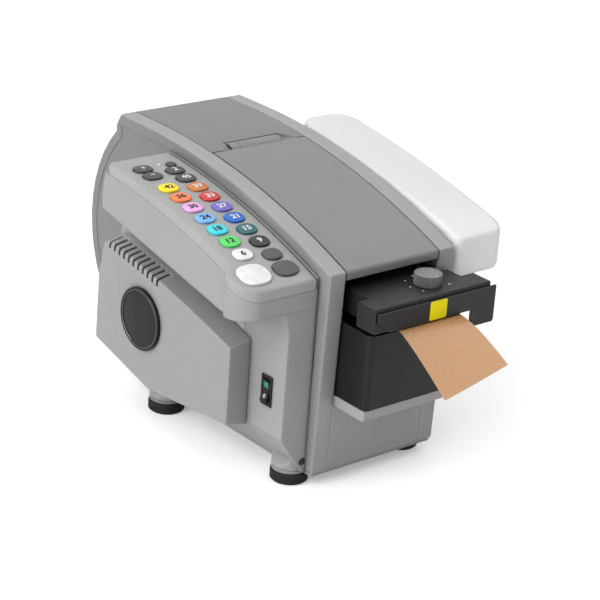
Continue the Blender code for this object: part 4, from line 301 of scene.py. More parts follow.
def keyFinish(name, colour):
    k = keySurface
    finish, tree, shader = newFinish(name)
    place = objectPlace(tree)
    cloud = noiseOf(tree, place, k["cloud"], 3.0)
    grain = noiseOf(tree, place, k["grain"], 2.0)
    tone = toneRamp(tree, cloud, *(shade(colour, share) for share in k["drift"]))
    normal, edge = softEdges(tree, k["edge"])
    bright = tuple(channel + (k["brightest"] - channel) * k["bright"] for channel in colour)
    # edges lighten towards a brighter tone: partly wear, partly a painted highlight on the rounded edges
    tone = blendColour(tree, maths(tree, "MULTIPLY", edge, k["rubbedAndLit"]), tone, (*bright, 1.0))
    gloss = spread(tree, noiseOf(tree, place, k["glossCloud"]), *k["gloss"])
    linkSurface(tree, shader, grooved(tree, tone, *k["corner"]), gloss, grain, k["depth"], normal)
    feed(tree, shader, {"Subsurface Weight": k["soft"], "Subsurface Radius": (k["softReach"],) * 3})
    feed(tree, shader, {"Specular IOR Level": k["shine"]})
    return finish


# Metals: the stretch makes the brushing run along one axis.


def metal(colour, tarnish, gloss, stretch, depth):
    return dict(colour=colour, tarnish=tarnish, gloss=gloss, stretch=stretch, depth=depth)


metalLooks = {  # colour, tarnish, gloss range, stretch, depth
    "brightSteel": metal((0.60, 0.60, 0.61), (0.36, 0.34, 0.31), (0.18, 0.34), (6, 260, 260), 0.00002),
    "zincSheet": metal((0.52, 0.53, 0.53), (0.40, 0.39, 0.34), (0.34, 0.52), (90, 90, 90), 0.00003),
    "heaterSteel": metal((0.55, 0.52, 0.47), (0.34, 0.22, 0.12), (0.26, 0.44), (220, 8, 220), 0.00002),
    "motorCan": metal((0.42, 0.42, 0.43), (0.24, 0.24, 0.24), (0.26, 0.40), (5, 150, 150), 0.00003),
    "rimChrome": metal((0.30, 0.30, 0.31), (0.20, 0.20, 0.20), (0.10, 0.20), (60, 60, 60), 0.00001),
    "screwZinc": metal((0.075, 0.075, 0.076), (0.04, 0.04, 0.038), (0.30, 0.45), (90, 90, 90), 0.00003),
}
metalWearAndShade = dict(
    brush=12.0, cloud=55.0, dull=0.86, stain=(0.0, 0.5, 0.5, 0.78), edge=0.0004, corner=(0.004, 0.5),
)


def metalFinish(name, look):
    m = metalWearAndShade
    finish, tree, shader = newFinish(name)
    place = objectPlace(tree)
    brush = noiseOf(tree, place, m["brush"], 4.0, look["stretch"])
    stain = spread(tree, noiseOf(tree, place, m["cloud"], 5.0), *m["stain"])
    colour = toneRamp(tree, brush, shade(look["colour"], m["dull"]), look["colour"])
    colour = blendColour(tree, stain, colour, (*look["tarnish"], 1.0))
    normal = softEdges(tree, m["edge"])[0]
    gloss = spread(tree, brush, *look["gloss"])
    linkSurface(tree, shader, grooved(tree, colour, *m["corner"]), gloss, brush, look["depth"], normal)
    feed(tree, shader, {"Metallic": 1.0})
    return finish


# Gummed kraft tape, flat and wound.

kraftLook = dict(
    colour=(0.712, 0.384, 0.190), dark=(0.475, 0.230, 0.098), gum=(0.45, 0.25, 0.12),
    speck=(0.27, 0.13, 0.055), specks=420.0, speckShare=0.35, speckReach=(0.04, 0.12),
    fibre=0.00004, along=(170.0, (3.2, 1.0, 1.0)), across=(210.0, (1.0, 3.4, 3.4)),
    fibreRange=(0.7, 1.3), tones=(0.0, 0.75), paperGloss=(0.72, 0.86), gumGloss=(0.22, 0.34),
)


def kraftFinish(name, gummed=False):  # pale and dark fibres, small specks, and a shine on the gummed face
    k = kraftLook
    finish, tree, shader = newFinish(name)
    place = objectPlace(tree)
    along, across = (noiseOf(tree, place, scale, 5.0, way) for scale, way in (k["along"], k["across"]))
    fibres = maths(tree, "ADD", along, across)
    pale = k["gum"] if gummed else k["colour"]
    level = spread(tree, fibres, 0.0, 1.0, *k["fibreRange"])
    colour = toneRamp(tree, level, k["dark"], pale, *k["tones"])
    specks = put(tree, "ShaderNodeTexVoronoi", {"Vector": place, "Scale": k["specks"]}).outputs["Distance"]
    dots = spread(tree, specks, k["speckShare"], 0.0, *k["speckReach"])
    colour = blendColour(tree, dots, colour, (*k["speck"], 1.0))
    gloss = spread(tree, across, *(k["gumGloss"] if gummed else k["paperGloss"]))
    linkSurface(tree, shader, colour, gloss, fibres, k["fibre"])
    return finish


rollLook = dict(
    layers=2600.0, ridge=0.00012, wander=0.0004, drift=30.0, uneven=(0.7, 2.0), swing=0.6, tones=(0.1, 0.8),
    gloss=(0.7, 0.88), corner=(0.004, 0.5),
)


def woundFinish(name, centre):  # the ends of a wound roll: one fine ring for each few turns of paper
    r = rollLook
    finish, tree, shader = newFinish(name)
    place = objectPlace(tree)
    fromAxis = vectorMaths(tree, "SUBTRACT", place, centre)
    flat = vectorMaths(tree, "MULTIPLY", fromAxis, (0.0, 1.0, 1.0))
    radius = vectorMaths(tree, "LENGTH", flat, result="Value")
    wander = spread(tree, noiseOf(tree, place, r["drift"]), -r["wander"], r["wander"])
    turns = maths(tree, "MULTIPLY", maths(tree, "ADD", radius, wander), r["layers"])
    uneven = noiseOf(tree, put(tree, "ShaderNodeCombineXYZ", {"X": turns}).outputs["Vector"], *r["uneven"])
    height = maths(tree, "MULTIPLY", maths(tree, "SINE", turns), uneven)
    level = spread(tree, height, 0.0, 1.0, -r["swing"], r["swing"])
    colour = toneRamp(tree, level, kraftLook["dark"], kraftLook["colour"], *r["tones"])
    gloss = spread(tree, uneven, *r["gloss"])
    linkSurface(tree, shader, grooved(tree, colour, *r["corner"]), gloss, height, r["ridge"])
    return finish


# Blown bottle: milky, with faint flow ripple and a satin skin, whiter where the water stands and greyer above
# it, the grey partly painted shade that tones down the lit upper part.

bottleLook = dict(
    empty=(0.87, 0.87, 0.875), filled=(0.97, 0.97, 0.975), water=0.25, passing=0.42, bend=1.2, edge=0.003,
    ripple=0.0006, flow=(22.0, (1.0, 0.45, 1.6)), cloud=26.0, skin=700.0, skinDepth=0.00003,
    gloss=(0.34, 0.46),
)


def milkyFinish(name):
    b = bottleLook
    finish, tree, shader = newFinish(name)
    place = objectPlace(tree)
    ripple = noiseOf(tree, place, b["flow"][0], 2.0, b["flow"][1])
    skin = noiseOf(tree, place, b["skin"], 2.0)
    # paler below the water line, greyer above it: partly the water, partly painted shade on the upper part
    low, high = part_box("water_bottle")
    waterLine = low.z + (high.z - low.z) * b["water"]
    level = spread(tree, partsOf(tree, place)["Z"], 0.0, 1.0, waterLine, high.z)
    sockets = {0: level, 1: noiseOf(tree, place, b["cloud"]), 2: level}
    cloudy = put(tree, "ShaderNodeMath", sockets, operation="MULTIPLY_ADD").outputs[0]
    colour = toneRamp(tree, cloudy, b["filled"], b["empty"], 0.0, 1.0)
    wavy = bumped(tree, ripple, b["ripple"], softEdges(tree, b["edge"])[0])
    linkSurface(tree, shader, colour, spread(tree, skin, *b["gloss"]), skin, b["skinDepth"], wavy)
    feed(tree, shader, {"Transmission Weight": b["passing"], "IOR": b["bend"]})
    return finish


# Clear and green lenses.

lensLooks = {
    "lensGreen": dict(colour=(0.004, 0.235, 0.085), gloss=(0.08, 0.18)),
    "lensClear": dict(colour=(0.62, 0.61, 0.59), gloss=(0.06, 0.16)),
}
lensRibs = dict(scale=900.0, stretch=(1, 3, 1), dull=0.75, depth=0.00008)
lensInside = {"Coat Weight": 0.6, "Subsurface Weight": 0.3, "Subsurface Radius": (0.001, 0.002, 0.001)}


def lensFinish(name, look):
    finish, tree, shader = newFinish(name)
    ribs = noiseOf(tree, objectPlace(tree), lensRibs["scale"], 1.0, lensRibs["stretch"])
    colour = toneRamp(tree, ribs, shade(look["colour"], lensRibs["dull"]), look["colour"])
    linkSurface(tree, shader, colour, spread(tree, ribs, *look["gloss"]), ribs, lensRibs["depth"])
    feed(tree, shader, lensInside)
    return finish


# Badge: glossy black with faint turned rings.

badgeLook = dict(
    colour=(0.006, 0.006, 0.006), gloss=(0.20, 0.30), shine=0.22, rings=9000.0, ringDepth=0.000004,
    cloud=60.0, drift=(0.7, 1.5),
)


def badgeFinish(name, centre):
    finish, tree, shader = newFinish(name)
    place = objectPlace(tree)
    radius = vectorMaths(tree, "LENGTH", vectorMaths(tree, "SUBTRACT", place, centre), result="Value")
    rings = maths(tree, "SINE", maths(tree, "MULTIPLY", radius, badgeLook["rings"]))
    cloud = noiseOf(tree, place, badgeLook["cloud"], 4.0)
    colour = toneRamp(tree, cloud, *(shade(badgeLook["colour"], share) for share in badgeLook["drift"]))
    gloss = spread(tree, cloud, *badgeLook["gloss"])
    linkSurface(tree, shader, colour, gloss, rings, badgeLook["ringDepth"])
    feed(tree, shader, {"Specular IOR Level": badgeLook["shine"]})
    return finish


finishes = {name: mouldedFinish(name, look) for name, look in mouldedLooks.items()}
finishes.update({name: keyFinish(name, colour) for name, colour in keyColours.items()})
finishes.update({name: metalFinish(name, look) for name, look in metalLooks.items()})
finishes.update({name: lensFinish(name, look) for name, look in lensLooks.items()})
finishes["kraftPaper"] = kraftFinish("kraftPaper")
finishes["gummedPaper"] = kraftFinish("gummedPaper", gummed=True)
finishes["woundPaper"] = woundFinish("woundPaper", centreOf("tape_roll"))
finishes["milkyBottle"] = milkyFinish("milkyBottle")
finishes["badgeBlack"] = badgeFinish("badgeBlack", centreOf("side_badge"))
print("finishes made:", len(finishes))


# Finishes and soft edges on the CAD nodes.

nodeFinishes = {
    "bodyGrey": ["left_body_shell", "right_body_shell", "base_plate", "front_panel"],
    "housingGrey": ["control_housing"],
    "coverGrey": ["front_cover"],
    "sideGrey": ["side_cover"],
    "basketShadeGrey": ["tape_basket"],
    "lidGrey": ["rear_lid"],
    "deckGrey": ["keypad_bezel"],
    "headBlack": ["head_cover", "head_front_plate"],
    "tankBlack": ["water_tank"],
    "switchBlack": ["switch_bezel", "power_rocker", "mains_inlet", "cutter_solenoid"],
    "knobGrey": ["head_knob"],
    "capBlack": ["bottle_cap", "brush_holder"],
    "footRubber": ["foot_front_left", "foot_front_right", "foot_rear_left", "foot_rear_right"],
    "rollerRubber": ["feed_wheel", "pressure_roller"],
    "brushNylon": ["moistening_brushes"],
    "brightSteel": ["motor_pinion", "cutter_blade", "lid_hinge_pin"],
    "zincSheet": ["feed_frame"],
    "heaterSteel": ["heater_plate"],
    "motorCan": ["drive_motor"],
    "kraftPaper": ["tape_web", "tape_tongue"],
    "woundPaper": ["tape_roll"],
    "milkyBottle": ["water_bottle"],
    "lensClear": ["status_led"],
    "badgeBlack": ["side_badge"],
}
softSkin = dict(weld=0.00001, angle=34.0, crisp={"rear_lid": 5.0, "front_cover": 20.0})


def softSkinNodes(name, limit):  # smooth across edges that bend less than the limit, sharp across the rest
    group = bpy.data.node_groups.new(name, "GeometryNodeTree")
    group.interface.new_socket("Geometry", in_out="INPUT", socket_type="NodeSocketGeometry")
    group.interface.new_socket("Geometry", in_out="OUTPUT", socket_type="NodeSocketGeometry")
    start = group.nodes.new("NodeGroupInput")
    end = group.nodes.new("NodeGroupOutput")
    sockets = {"Geometry": start.outputs[0], "Distance": softSkin["weld"]}
    weld = put(group, "GeometryNodeMergeByDistance", sockets)
    faces = put(group, "GeometryNodeSetShadeSmooth", {"Geometry": weld.outputs[0], "Shade Smooth": True})
    angle = put(group, "GeometryNodeInputMeshEdgeAngle").outputs[0]
    gentle = put(group, "FunctionNodeCompare", {0: angle, 1: math.radians(limit)}, operation="LESS_THAN")
    edges = put(group, "GeometryNodeSetShadeSmooth", domain="EDGE")
    group.links.new(faces.outputs[0], edges.inputs["Geometry"])
    group.links.new(gentle.outputs[0], edges.inputs["Shade Smooth"])
    group.links.new(edges.outputs[0], end.inputs[0])
    return group


skinLimits = {softSkin["angle"], *softSkin["crisp"].values()}
skinGroups = {limit: softSkinNodes("softSkin" + str(int(limit)), limit) for limit in skinLimits}
for finishName, nodeNames in nodeFinishes.items():
    for nodeName in nodeNames:
        node = cadNodes[nodeName]
        for slot in node.material_slots:
            slot.material = finishes[finishName]
        skin = node.modifiers.new("softSkin", "NODES")
        skin.node_group = skinGroups[softSkin["crisp"].get(nodeName, softSkin["angle"])]
        even = node.modifiers.new("evenShading", "WEIGHTED_NORMAL")
        even.keep_sharp = True
print("CAD nodes finished")


# Small helpers for pieces.


def turnsOf(steps):  # the angles of one full turn
    return [math.tau * step / steps for step in range(steps)]


def quarterRound(radius, steps):  # (inset, drop) over a rounded edge, from its side to its top
    turns = [math.pi / 2 * step / steps for step in range(1, steps + 1)]
    return [(radius * (1 - math.cos(turn)), radius * (1 - math.sin(turn))) for turn in turns]


def boxCorners(lowX, lowY, highX, highY):
    return ((lowX, lowY), (highX, lowY), (highX, highY), (lowX, highY))


def finishPiece(name, bm, finishList, body, angle=34.0):
    bmesh.ops.recalc_face_normals(bm, faces=bm.faces)
    mesh = bpy.data.meshes.new(name)
    bm.to_mesh(mesh)
    bm.free()
    for finish in finishList:
        mesh.materials.append(finishes[finish])
    mesh.shade_smooth()
    mesh.set_sharp_from_angle(angle=math.radians(angle))
    piece = bpy.data.objects.new(name, mesh)
    bpy.context.scene.collection.objects.link(piece)
    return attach(piece, body)


def skinRings(bm, rings, material=0):  # joins rings of points, all with the same count
    rows = [[bm.verts.new(point) for point in ring] for ring in rings]
    count = len(rows[0])
    for lower, upper in zip(rows, rows[1:]):
        for step in range(count):
            after = (step + 1) % count
            face = bm.faces.new((lower[step], lower[after], upper[after], upper[step]))
            face.material_index = material
    return rows


def solidSkin(bm, rings, material=0):  # the same, closed at both ends
    rows = skinRings(bm, rings, material)
    for row in (rows[0], rows[-1]):
        bm.faces.new(row).material_index = material


def turnedRings(start, axis, side, profile, steps):  # profile: (radius, distance along the axis)
    axis = Vector(axis).normalized()
    side = Vector(side).normalized()
    other = axis.cross(side)
    rings = []
    for radius, along in profile:
        ring = []
        for turn in turnsOf(steps):
            ring.append(start + axis * along + (side * math.cos(turn) + other * math.sin(turn)) * radius)
        rings.append(ring)
    return rings


def squaredOval(halfWidth, halfDepth, power, steps):
    points = []
    for turn in turnsOf(steps):
        c, s = math.cos(turn), math.sin(turn)
        x = math.copysign(abs(c) ** (2 / power), c) * halfWidth
        y = math.copysign(abs(s) ** (2 / power), s) * halfDepth
        points.append((x, y))
    return points


# Key caps with their numbers.

keyRows = {  # node: (finish, number)
    "key_42": ("keyYellow", "42"),
    "key_36": ("keyOrange", "36"),
    "key_30": ("keyPink", "30"),
    "key_24": ("keySky", "24"),
    "key_18": ("keyCyan", "18"),
    "key_12": ("keyGreen", "12"),
    "key_6": ("keyWhite", "6"),
    "key_39": ("keyAmber", "39"),
    "key_33": ("keyRed", "33"),
    "key_27": ("keyViolet", "27"),
    "key_21": ("keyBlue", "21"),
    "key_15": ("keyTeal", "15"),
    "key_9": ("keyBlack", "9"),
    "key_45": ("keyDark", "45"),
    "key_double": ("keyDark", "2"),
    "key_plus": ("keyDark", "+"),
    "key_minus": ("keyDark", "-"),
    "key_small": ("keyDark", ""),
    "key_stop": ("keyGrey", ""),
    "key_select": ("keyGrey", ""),
    "key_start": ("keyWhite", ""),
}
paleCaps = ("keyYellow", "keyOrange", "keyPink", "keySky", "keyCyan", "keyGreen", "keyWhite")
keyLook = dict(
    round=0.0011, roundSteps=6, crown=0.0007, power=2.55, steps=56, skirt=0.0026, creases=50.0,
    topShares=(0.93, 0.84, 0.74, 0.63, 0.52, 0.4, 0.28, 0.14),
)
numberLook = dict(height=0.0066, fontSize=1.37, wide=1.12, bold=0.00030, smooth=5, proud=0.00009, cell=0.0008)


def keyPlace(nodeName):  # the cap's own axes, from the way it presses, and its size along them
    up = -Vector(jointOf[nodeName]["axis"]).normalized()
    across = Vector((1.0, 0.0, 0.0))
    fore = up.cross(across).normalized()
    spots = [(v.co.dot(across), v.co.dot(fore), v.co.dot(up)) for v in cadNodes[nodeName].data.vertices]
    low = [min(spot[i] for spot in spots) for i in range(3)]
    high = [max(spot[i] for spot in spots) for i in range(3)]
    middle = across * ((low[0] + high[0]) / 2) + fore * ((low[1] + high[1]) / 2) + up * high[2]
    turn = Matrix((across, fore, up)).transposed().to_4x4()
    topSpots = [spot for spot in spots if spot[2] > high[2] - keyLook["skirt"]]
    wide = max(spot[0] for spot in topSpots) - middle.dot(across)
    deep = max(spot[1] for spot in topSpots) - middle.dot(fore)
    return Matrix.Translation(middle) @ turn, wide, deep, high[2] - low[2]


def crownAt(x, y, wide, deep):
    share = min(1.0, (x / wide) ** 2 + (y / deep) ** 2)
    return -keyLook["crown"] * share


def keyCap(nodeName, finishName):
    place, wide, deep, height = keyPlace(nodeName)
    edge, crown = keyLook["round"], keyLook["crown"]

    def outline(halfWidth, halfDepth):
        return squaredOval(halfWidth, halfDepth, keyLook["power"], keyLook["steps"])

    rings = []
    for z in (-height, -height * 0.5, -edge - crown):
        rings.append([(x, y, z) for x, y in outline(wide, deep)])
    for inset, drop in quarterRound(edge, keyLook["roundSteps"]):
        rings.append([(x, y, -crown - drop) for x, y in outline(wide - inset, deep - inset)])
    topWide, topDeep = wide - edge, deep - edge
    for share in keyLook["topShares"]:
        ring = outline(topWide * share, topDeep * share)
        rings.append([(x, y, crownAt(x, y, topWide, topDeep)) for x, y in ring])
    bm = bmesh.new()
    solidSkin(bm, rings)
    bmesh.ops.transform(bm, matrix=place, verts=bm.verts)
    cap = finishPiece(nodeName + "_cap", bm, [finishName], nodeName, keyLook["creases"])
    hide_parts(nodeName)


def markMesh(text):  # outline of a number as flat faces, centred, with its strokes thickened
    curve = bpy.data.curves.new("mark", "FONT")
    curve.body = text
    curve.size = numberLook["height"] * numberLook["fontSize"]
    curve.offset = numberLook["bold"]
    curve.align_x = "CENTER"
    curve.align_y = "CENTER"
    curve.resolution_u = numberLook["smooth"]
    writer = bpy.data.objects.new("mark", curve)
    bpy.context.scene.collection.objects.link(writer)
    bpy.context.view_layer.update()
    mesh = bpy.data.meshes.new_from_object(writer.evaluated_get(bpy.context.evaluated_depsgraph_get()))
    bpy.data.objects.remove(writer)
    bpy.data.curves.remove(curve)
    return mesh


def barsMesh(bm, bars):  # plain strokes: (low x, low y, high x, high y)
    for bar in bars:
        bm.faces.new([bm.verts.new((x, y, 0)) for x, y in boxCorners(*bar)])


signReach, signHalf = 0.0025, 0.00055  # half length and half width of a stroke
signBars = {
    "+": [
        (-signReach, -signHalf, -signHalf, signHalf),
        (signHalf, -signHalf, signReach, signHalf),
        (-signHalf, -signReach, signHalf, signReach),
    ],
    "-": [(-signReach, -signHalf, signReach, signHalf)],
}


def extent(bm, axis):
    places = [v.co[axis] for v in bm.verts]
    return min(places), max(places)


def cutFine(bm, cell):  # small cells, so that flat marks can follow a crowned top
    for axis in (0, 1):
        low, high = extent(bm, axis)
        normal = Vector((1.0, 0.0, 0.0)) if axis == 0 else Vector((0.0, 1.0, 0.0))
        for step in range(1, int((high - low) / cell) + 1):
            everything = list(bm.verts) + list(bm.edges) + list(bm.faces)
            cut = normal * (low + step * cell)
            bmesh.ops.bisect_plane(bm, geom=everything, plane_co=cut, plane_no=normal)


def keyNumber(nodeName, text, finishName):
    place, wide, deep = keyPlace(nodeName)[:3]
    bm = bmesh.new()
    if text in signBars:
        barsMesh(bm, signBars[text])
    else:
        mesh = markMesh(text)
        bm.from_mesh(mesh)
        bpy.data.meshes.remove(mesh)
        (lowX, highX), (lowY, highY) = extent(bm, 0), extent(bm, 1)
        bmesh.ops.translate(bm, vec=(-(lowX + highX) / 2, -(lowY + highY) / 2, 0.0), verts=bm.verts)
        tall = numberLook["height"] / (highY - lowY)
        bmesh.ops.scale(bm, vec=(numberLook["wide"], tall, 1.0), verts=bm.verts)
    cutFine(bm, numberLook["cell"])
    topWide, topDeep = wide - keyLook["round"], deep - keyLook["round"]
    for v in bm.verts:
        v.co.z = crownAt(v.co.x, v.co.y, topWide, topDeep) + numberLook["proud"]
    bmesh.ops.transform(bm, matrix=place, verts=bm.verts)
    finishPiece(nodeName + "_number", bm, [finishName], nodeName)


for nodeName, (finishName, text) in keyRows.items():
    keyCap(nodeName, finishName)
    if text:
        keyNumber(nodeName, text, "legendBlack" if finishName in paleCaps else "legendWhite")
print("key caps and numbers built")


# Rocker switch: lens and off mark, on its hollowed front.

rockerLook = dict(
    pivot=(-0.0985, -0.0964, 0.0970), tilt=7.0, front=-0.0072, dish=0.0022, high=0.0108,
    lensLow=0.0022, lensHigh=0.0082, lensHalf=0.0034, lensPower=6.0, lensSteps=40,
    lensRings=((0.0, -0.0002), (0.0, 0.0002), (0.0002, 0.0004), (0.0006, 0.0005)),  # (inset, proud)
    ring=0.0016, ringWide=0.8, ringSteps=36, stroke=0.00038, ringAt=-0.0058, proud=0.00005,
)


def rockerSurface(z):
    return rockerLook["front"] + rockerLook["dish"] * (1 - (z / rockerLook["high"]) ** 2)


def rockerPlace():
    turn = Matrix.Rotation(math.radians(rockerLook["tilt"]), 4, "Y")
    return Matrix.Translation(rockerLook["pivot"]) @ turn


def rockerLens():
    bm = bmesh.new()
    middle = (rockerLook["lensLow"] + rockerLook["lensHigh"]) / 2
    halfHigh = (rockerLook["lensHigh"] - rockerLook["lensLow"]) / 2
    rings = []
    for inset, proud in rockerLook["lensRings"]:
        halves = (rockerLook["lensHalf"] - inset, halfHigh - inset)
        outline = squaredOval(*halves, rockerLook["lensPower"], rockerLook["lensSteps"])
        rings.append([(rockerSurface(middle + z) - proud, y, middle + z) for y, z in outline])
    rows = skinRings(bm, rings)
    bm.faces.new(rows[-1])
    bmesh.ops.transform(bm, matrix=rockerPlace(), verts=bm.verts)
    finishPiece("rocker_lens", bm, ["lensGreen"], "power_rocker", 50.0)


def rockerMark():
    bm = bmesh.new()
    rings = []
    for radius in (rockerLook["ring"] - rockerLook["stroke"], rockerLook["ring"] + rockerLook["stroke"]):
        ring = []
        for turn in turnsOf(rockerLook["ringSteps"]):
            y = math.cos(turn) * radius * rockerLook["ringWide"]
            z = rockerLook["ringAt"] + math.sin(turn) * radius
            ring.append((rockerSurface(z) - rockerLook["proud"], y, z))
        rings.append(ring)
    skinRings(bm, rings)
    bmesh.ops.transform(bm, matrix=rockerPlace(), verts=bm.verts)
    finishPiece("rocker_off_mark", bm, ["legendWhite"], "power_rocker")


rockerLens()
rockerMark()
print("rocker switch marked")


# Round badge on the side cover: a low dome inside a thin wire ring.

badgeShape = dict(
    fit=0.94, rim=0.0011, rimSteps=5, lip=0.0002, ringOut=0.0026, ringIn=0.0031, face=0.0012, dome=0.0007,
    domeShares=(0.8, 0.55, 0.3, 0.08), wire=0.00032, wireGap=0.0004, wireSink=0.0006, wireSteps=10, steps=128,
)


def bareBadge():
    b = badgeShape
    low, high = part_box("side_badge")
    radius = (high.y - low.y) / 2 * b["fit"]
    centre = Vector((high.x, (low.y + high.y) / 2, (low.z + high.z) / 2))
    thick = high.x - low.x
    profile = [(radius, 0.0), (radius, thick - b["rim"])]
    profile += [(radius - inset, thick - drop) for inset, drop in quarterRound(b["rim"], b["rimSteps"])]
    face = thick - b["face"]
    profile += [(radius - b["ringOut"], thick - b["lip"]), (radius - b["ringIn"], face)]
    for share in b["domeShares"]:
        profile.append((radius * share, face + b["dome"] * (1 - share ** 2)))
    bm = bmesh.new()
    solidSkin(bm, turnedRings(centre, (-1, 0, 0), (0, 1, 0), profile, b["steps"]))
    badge = finishPiece("badge_disc", bm, ["badgeBlack"], "machine", 40.0)
    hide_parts("side_badge")

    bm = bmesh.new()
    ringRadius = radius - b["ringOut"] - b["wireGap"]
    rings = []
    for turn in turnsOf(b["steps"]):
        outward = Vector((0.0, math.cos(turn), math.sin(turn)))
        middle = centre + outward * ringRadius - Vector((thick - b["wireSink"], 0.0, 0.0))
        ring = []
        for around in turnsOf(b["wireSteps"]):
            sideways = outward * math.cos(around) * b["wire"]
            ring.append(middle + sideways - Vector((math.sin(around) * b["wire"], 0.0, 0.0)))
        rings.append(ring)
    rings.append(rings[0])
    skinRings(bm, rings)
    bmesh.ops.remove_doubles(bm, verts=bm.verts, dist=0.000001)
    finishPiece("badge_ring", bm, ["rimChrome"], "machine", 60.0)


bareBadge()
print("badge built")


# Head: fluted knob, dial marks, plain sticker.

knobLook = dict(
    slim=0.0010, height=0.0108, lift=0.0003, flutes=40, steps=8, depth=0.0011, fluteShape=1.6, foot=0.0008,
    edge=0.0007, edgeSteps=5, rimWidth=0.0024, wall=0.0028, floor=0.0060, recess=0.0006,
    groove=0.0011, grooveFrom=0.93, grooveTo=0.72, grooveProud=0.00004,
)


def flutedKnob():
    k = knobLook
    low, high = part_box("head_knob")
    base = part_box("head_cover")[1].z + k["lift"]
    centre = Vector(((low.x + high.x) / 2, (low.y + high.y) / 2, base))
    radius = (high.x - low.x) / 2 - k["slim"]
    top, rounding = k["height"], k["edge"]
    levels = [(0.0, 0.0, 1.0), (0.0, k["foot"], 1.0), (0.0, top - rounding, 1.0)]  # (inset, z, fluted)
    for step, (inset, drop) in enumerate(quarterRound(rounding, k["edgeSteps"]), 1):
        levels.append((inset, top - drop, 1 - step / (k["edgeSteps"] + 1)))
    levels.append((k["rimWidth"], top, 0.0))
    levels += [(k[inner], top - k["recess"], 0.0) for inner in ("wall", "floor")]
    rings = []
    for inset, z, fluteShare in levels:
        ring = []
        for turn in turnsOf(k["flutes"] * k["steps"]):
            flute = abs(math.sin(turn * k["flutes"] / 2)) ** k["fluteShape"] * k["depth"] * fluteShare
            reach = radius - inset - flute
            ring.append(centre + Vector((math.cos(turn) * reach, math.sin(turn) * reach, z)))
        rings.append(ring)
    bm = bmesh.new()
    solidSkin(bm, rings)
    knob = finishPiece("fluted_knob", bm, ["knobGrey"], "head_knob", 30.0)
    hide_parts("head_knob")

    bm = bmesh.new()
    half = k["groove"] / 2
    barsMesh(bm, [(-half, -radius * k["grooveFrom"], half, -radius * k["grooveTo"])])
    for v in bm.verts:
        v.co += Vector((centre.x, centre.y, 0.0))
        v.co.z = centre.z + k["height"] + k["grooveProud"]
    finishPiece("knob_pointer", bm, ["legendWhite"], "head_knob")


dialLook = dict(  # marks in metres from the knob's axis
    dots=((-0.0137, 0.0156), (-0.0197, 0.0020), (-0.0157, -0.0114)),
    dashes=((0.0178, -0.0107), (0.0007, 0.0218)),
    dot=0.00085, dash=0.0018, proud=0.00006, steps=20,
)


def dialMarks():  # printed dots round the knob, with a dash at each end of its travel
    d = dialLook
    bm = bmesh.new()
    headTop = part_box("head_cover")[1].z + d["proud"]
    knobAxis = centreOf("head_knob")
    marks = [(spot, d["dot"]) for spot in d["dots"]] + [(spot, d["dash"]) for spot in d["dashes"]]
    for (x, y), long in marks:
        points = []
        for turn in turnsOf(d["steps"]):
            along, across = math.cos(turn) * long, math.sin(turn) * d["dot"]
            points.append(bm.verts.new((knobAxis.x + x + along, knobAxis.y + y + across, headTop)))
        bm.faces.new(points)
    finishPiece("dial_marks", bm, ["legendWhite"], "heater_head")


stickerLook = dict(
    low=(0.0130, 0.1738), high=(0.0340, 0.1925), round=0.0020, thick=0.00012, sink=0.0001, swell=1.2,
    bevel=0.0001, cornerSteps=6,
)


def plainSticker():  # blank yellow label on the head's front plate
    s = stickerLook
    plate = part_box("head_front_plate")[0].y
    (lowX, lowZ), (highX, highZ) = s["low"], s["high"]
    corners = ((highX, highZ, 0), (lowX, highZ, 90), (lowX, lowZ, 180), (highX, lowZ, 270))
    bm = bmesh.new()
    rings = []
    front, crest = plate - s["thick"], plate - s["thick"] * s["swell"]
    for y, inset in ((plate + s["sink"], 0.0), (front, 0.0), (crest, s["bevel"])):
        ring = []
        for cornerX, cornerZ, first in corners:
            inX = cornerX - math.copysign(s["round"], cornerX - (lowX + highX) / 2)
            inZ = cornerZ - math.copysign(s["round"], cornerZ - (lowZ + highZ) / 2)
            for step in range(s["cornerSteps"] + 1):
                turn = math.radians(first + 90 * step / s["cornerSteps"])
                reach = s["round"] - inset
                ring.append((inX + math.cos(turn) * reach, y, inZ + math.sin(turn) * reach))
        rings.append(ring)
    rows = skinRings(bm, rings)
    bm.faces.new(rows[-1])
    finishPiece("plain_sticker", bm, ["labelYellow"], "heater_head")


flutedKnob()
dialMarks()
plainSticker()
print("head dressed")


# Cut length of tape hanging out in front, over the tank that slides out below it. It is flat at its exit and
# droops further out.

tongueLook = dict(
    left=-0.0220, width=0.0760, exitY=-0.1800, startY=-0.0941, level=0.1715, run=0.068,
    dropLeft=0.043, dropRight=0.0255, curveLeft=1.2, curveRight=1.5, thick=0.00022, columns=40, rows=60,
    ripple=0.00035, wave=(5.2, 2.1, 4.0), nearRun=0.001, nearShare=0.01, keep=0.02,
)


def tonguePoint(share, run):
    t = tongueLook
    along = max(run, 0.0) / t["run"]
    left = t["dropLeft"] * along ** t["curveLeft"]
    right = t["dropRight"] * along ** t["curveRight"]
    slant, forward, swell = t["wave"]
    wave = t["ripple"] * along * math.sin(share * slant + along * forward) * math.sin(along * swell)
    drop = left + (right - left) * share + wave
    return Vector((t["left"] + t["width"] * share, t["exitY"] - run, t["level"] - drop))


